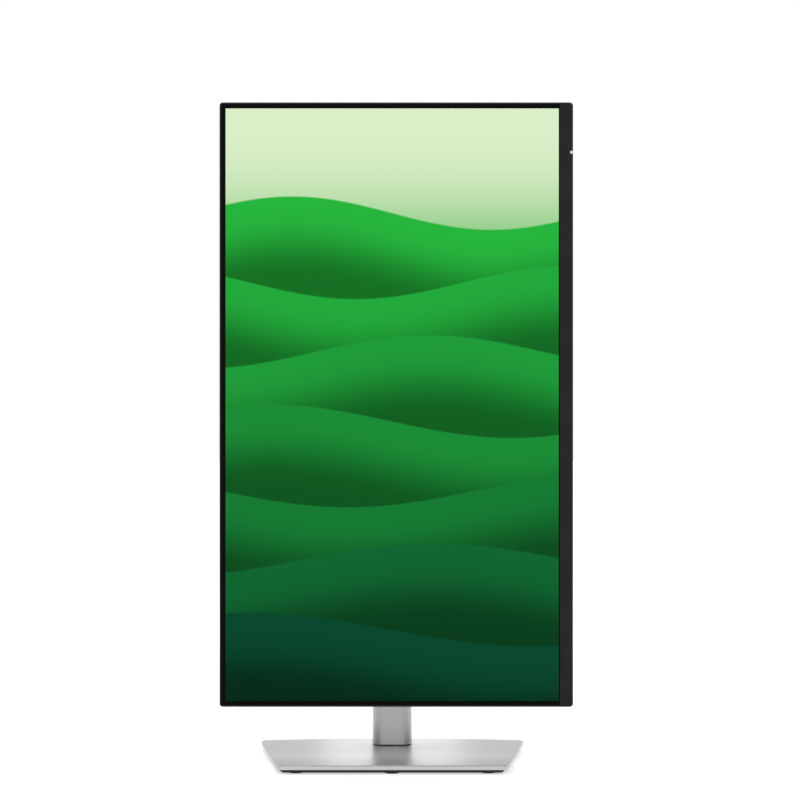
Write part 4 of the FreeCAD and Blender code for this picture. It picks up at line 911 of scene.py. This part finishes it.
def sockets():
    """Folded metal sockets with plastic tongues and plated contacts."""
    metal = Solid("socket_set", DISPLAY)
    low = SOCKET_LOW
    stations = ((14, 0), (0.3, 0), (0, 0.2), (0.1, 0.5), (0.8, 0.6), (11, 0.6))
    for x, width, height, kind in SOCKETS:
        y = 18.55 + height / 2
        rings = [[(u, v, low + w) for u, v in reversed(socket_outline(x, y, width, height, kind, inset))]
                 for w, inset in stations]
        metal.paint("tin").skin(rings)
        metal.block(x - 3, x + 3, BOARD_Y, 18.85, low + 8, low + 13, 0.1)
        metal.paint("blue" if kind == "plain" else "epoxy")
        tongue = width / 2 - 2
        metal.block(x - tongue, x + tongue, y - 0.5, y + 0.5, low + 1.5, low + 11.2, 0.12)
        metal.paint("gold")
        count = int((width - 5) / 1.1)
        for i in range(count):
            spot = x + (i - (count - 1) / 2) * 1.1
            metal.block(spot - 0.3, spot + 0.3, y + 0.42, y + 0.58, low + 2, low + 10.8, 0.03)
    metal.piece("port_connectors")


def mains_inlet():
    """Insulated body with a tapered mouth and three plated blades."""
    x, y0, low = -108, 18.4, SOCKET_LOW
    solid = Solid("mains_inlet_parts", DISPLAY).paint("black_plastic")
    y = y0 + 9.9

    def outline(inset):
        return socket_outline(x, y, 27.6, 19.8, "plain", inset)

    def mouth(inset):
        a, b = 13.8 - inset, 9.9 - inset
        shape = [(-a, -b), (a, -b), (a, b - 5), (a - 5, b), (-a + 5, b), (-a, b - 5)]
        points = []
        for first, second in zip(shape, shape[1:] + shape[:1]):
            points += [first, ((first[0] + second[0]) / 2, (first[1] + second[1]) / 2)]
        return [(x + u, y + v) for u, v in points]

    stations = [(low + 20, outline(0)), (low + 0.4, outline(0)), (low, outline(0.4)), (low, mouth(1.6)),
                (low + 0.4, mouth(1.8)), (low + 16, mouth(1.8))]
    solid.skin([[(u, v, z) for u, v in reversed(points)] for z, points in stations])
    solid.paint("tin")
    for dx, dy in ((-7, 8.4), (0, 12.4), (7, 8.4)):
        solid.block(x + dx - 1, x + dx + 1, y0 + dy - 2, y0 + dy + 2, low + 3, low + 16.5, 0.35)
    solid.piece("ac_inlet")


def latch_spring():
    """Coiled return spring between the latch foot and a rib of the cover."""
    solid = Solid("latch_coil", DISPLAY).paint("spring_steel")
    y = 27.7
    solid.tube([(1.3 * math.cos(turn), y + 1.3 * math.sin(turn), -58.8 + 12.4 * share)
                for turn, share in winding(9, 14)], 0.36)
    solid.paint("black_plastic").block(-2, 2, y - 1.9, 33.9, -46.1, -45, 0.2)
    solid.piece("latch_spring")


def wound_spring():
    """Flat steel strip wound on the drum."""
    solid = Solid("lift_spring_coil").paint("spring_steel")
    drum_z = PIVOT_Z - 33
    path = []
    for turn, share in winding(9, 30):
        reach = 5.25 + 4.9 * share
        path.append((0, reach * math.cos(turn), drum_z + reach * math.sin(turn)))
    solid.ribbon(path, (1, 0, 0), 15.6, 0.3)
    solid.piece("spring_coil")


def tilt_axle():
    """Bolt and nut of the tilt joint, and the nut that holds the column on its hub."""
    centre = (0, -40, PIVOT_Z)
    shaft = Solid("tilt_bolt").paint("zinc_fastener")
    shaft.hexagon("x", centre, 6.5, -26, -22.1)
    shaft.turned("x", centre, [(4, -22.2), (4, 19.9), (3.6, 20.1)], 32)
    shaft.thread("x", centre, 3.98, 20, 26.6, 1.25, 0.5, 32)
    shaft.turned("x", centre, [(3.4, 26.5), (3.3, 26.8), (2.9, 27)], 32)
    shaft.piece("tilt_shaft")
    tilt_nut = Solid("tilt_lock_nut").paint("zinc_fastener")
    tilt_nut.hexagon("x", centre, 6.5, 22.1, 26.1, 4.02).piece("tilt_nut")
    hub_nut = Solid("swivel_lock_nut").paint("zinc_fastener")
    hub_nut.hexagon("z", (0, 0, 0), 12, 24, 28.9, 7.02, 0.7).piece("swivel_nut")


def feet():
    """Five grooved feet under the tray and the ring under the weight plate."""
    solid = Solid("feet_set").paint("rubber")
    profile = [(1.8, 0.35), (2.6, 0.3), (3.0, 0), (4.7, 0), (5.0, 0.3), (5.5, 0.3), (5.8, 0), (6.3, 0),
               (6.9, 0.4), (7.0, 0.8), (7.0, 1.6)]
    for x, y in ((-84, -134), (0, -136), (84, -134), (-100, 4), (100, 4)):
        solid.turned("z", (x, y, 0), profile, 32)
    solid.piece("rubber_feet")
    pad = Solid("ring_pad").paint("rubber")
    profile = [(22.1, 0), (22.5, 0.3), (22.5, 1.2), (16.5, 1.2), (16.5, 0.3), (16.9, 0), (18.3, 0),
               (18.6, 0.35), (20.2, 0.35), (20.5, 0)]
    pad.turned("z", (0, 0, 0), profile, 64, closed=True)
    pad.piece("centre_pad")


def fixing_screw():
    """Knurled screw with a cross lug that carries a folding wire handle."""
    solid = Solid("knurled_screw").paint("zinc_fastener")
    rim = ((8.5, 2.5), (9.0, 2.8), (9.0, 3.9), (8.5, 4.2))
    solid.turned("z", (0, 0, 0), [(fluted(r, 0.35, 20), w) for r, w in rim], 160)
    solid.thread("z", (0, 0, 0), 3, 4.1, 21.6, 1.0, 0.45, 28)
    solid.turned("z", (0, 0, 0), [(2.6, 21.5), (2.5, 21.8), (2.0, 22)], 28)
    solid.block(-9.2, 9.2, -1.6, 1.6, 0.7, 2.6, 0.4)
    solid.piece("base_screw")
    wire = Solid("wire_handle").paint("zinc_fastener")
    bends = ((-8.6, 0), (-10, 0), (-10, 7.8), (10, 7.8), (10, 0), (8.6, 0))
    wire.tube(rounded([(x, y, 1.6) for x, y in bends], 0.9, 6), 0.62, 12)
    wire.piece("ring_handle")


def carried_over():
    for node in sorted(set(NODES) - DETAILED):
        finish = "rear_plastic" if node == "rear_cover" else SLOT_OF[node]
        softened(node, BEVEL_MM.get(node, PLAIN_BEVEL_MM), MATERIALS[finish])


# ---------- stage, light, camera

def square_floor(half, material):
    mesh = bpy.data.meshes.new("floor")
    corners = [(-half, -half, 0), (half, -half, 0), (half, half, 0), (-half, half, 0)]
    mesh.from_pydata(corners, [], [(0, 1, 2, 3)])
    mesh.materials.append(material)
    item = bpy.data.objects.new("floor", mesh)
    bpy.context.scene.collection.objects.link(item)


def camera_only(tree, seen, felt):
    """One colour for the camera and another for every other ray."""
    path = new_node(tree, "LightPath")
    return mix_colour(tree, path.outputs["Is Camera Ray"], felt, seen)


def pale_floor():
    """Matt floor that the camera sees as evenly white."""
    paint = Paint("studio_floor")
    shade = paint.noise(400, 2.0)
    far = distance(paint.axis(0), paint.axis(1)).step(300, 1500)
    seen = far.ramp([(0.0, (0.5, 0.5, 0.5)), (1.0, (0.9, 0.9, 0.9))])
    glow = camera_only(paint.tree, seen, (0.36, 0.36, 0.36))
    pale = shade.ramp([(0.3, (0.84, 0.84, 0.84)), (0.7, (0.87, 0.87, 0.87))])
    paint.set(Base_Color=pale, Roughness=0.7, Specular_IOR_Level=0.1, Emission_Color=glow,
              Emission_Strength=1.0)
    square_floor(12, paint.material)


def sky():
    """White surroundings that light the object less from the sides and from straight above."""
    world = bpy.data.worlds.new("studio")
    bpy.context.scene.world = world
    world.use_nodes = True
    tree = world.node_tree
    split = new_node(tree, "SeparateXYZ", Vector=new_node(tree, "TexCoord").outputs["Generated"])
    across, back, up = (Field(tree, split.outputs[i]) for i in range(3))
    sides = across.math("ABSOLUTE").step(0.2, 0.8)
    height = up.step(-0.1, 0.5) * 0.12 - up.step(0.6, 1.0) * 0.40
    level = height - back.step(-0.3, 0.9) * 0.14 - sides * 0.5 + 0.76
    felt = level.ramp([(0.0, (0.0, 0.0, 0.0)), (1.0, (1.0, 1.0, 1.0))])
    fill(tree, tree.nodes["Background"].inputs["Color"], camera_only(tree, (1.0, 1.0, 1.0), felt))


def area_light(name, place, aim, size, power):
    data = bpy.data.lights.new(name, "AREA")
    data.shape = "RECTANGLE"
    data.size, data.size_y = size
    data.energy = power
    lamp = bpy.data.objects.new(name, data)
    lamp.location = place
    lamp.rotation_euler = (Vector(aim) - Vector(place)).to_track_quat("-Z", "Y").to_euler()
    lamp.visible_camera = False
    bpy.context.scene.collection.objects.link(lamp)


def lights():
    area_light("key", (-1.3, -1.5, 2.2), (0, 0, 0.3), (1.6, 1.6), 17)
    area_light("fill", (1.6, -1.3, 1.5), (0, 0, 0.3), (1.4, 1.4), 7)
    area_light("top", (0, 0.9, 2.2), (0, 0, 0.2), (1.6, 0.8), 9)
    for side in (-1, 1):
        area_light("back", (1.9 * side, 1.25, 1.3), (0, 0, 0.3), (1.2, 1.4), 13)
    area_light("base_glow", (0, 0.62, 0.14), (0, -0.06, 0.01), (0.16, 0.24), 0.10)


def camera():
    """Straight front view from 2.25 m at the height of the pivot axis."""
    data = bpy.data.cameras.new("view")
    data.sensor_width = 36.0
    data.lens = 113.8
    data.shift_x = 0.0098
    data.shift_y = 0.0058
    data.clip_end = 50
    item = bpy.data.objects.new("view", data)
    item.location = (0, FRONT_Y * MM - 2.25, PIVOT_Z * MM)
    item.rotation_euler = (math.radians(90), 0, 0)
    bpy.context.scene.collection.objects.link(item)
    bpy.context.scene.camera = item


# ---------- build

for build in (screws, main_board, power_board, driver_board, light_bar, control_board, joystick_knob,
              leads_and_cables, sockets, mains_inlet, latch_spring, wound_spring, tilt_axle, feet,
              fixing_screw, carried_over, pale_floor, sky, lights, camera):
    build()
bpy.context.scene.view_settings.view_transform = "Standard"
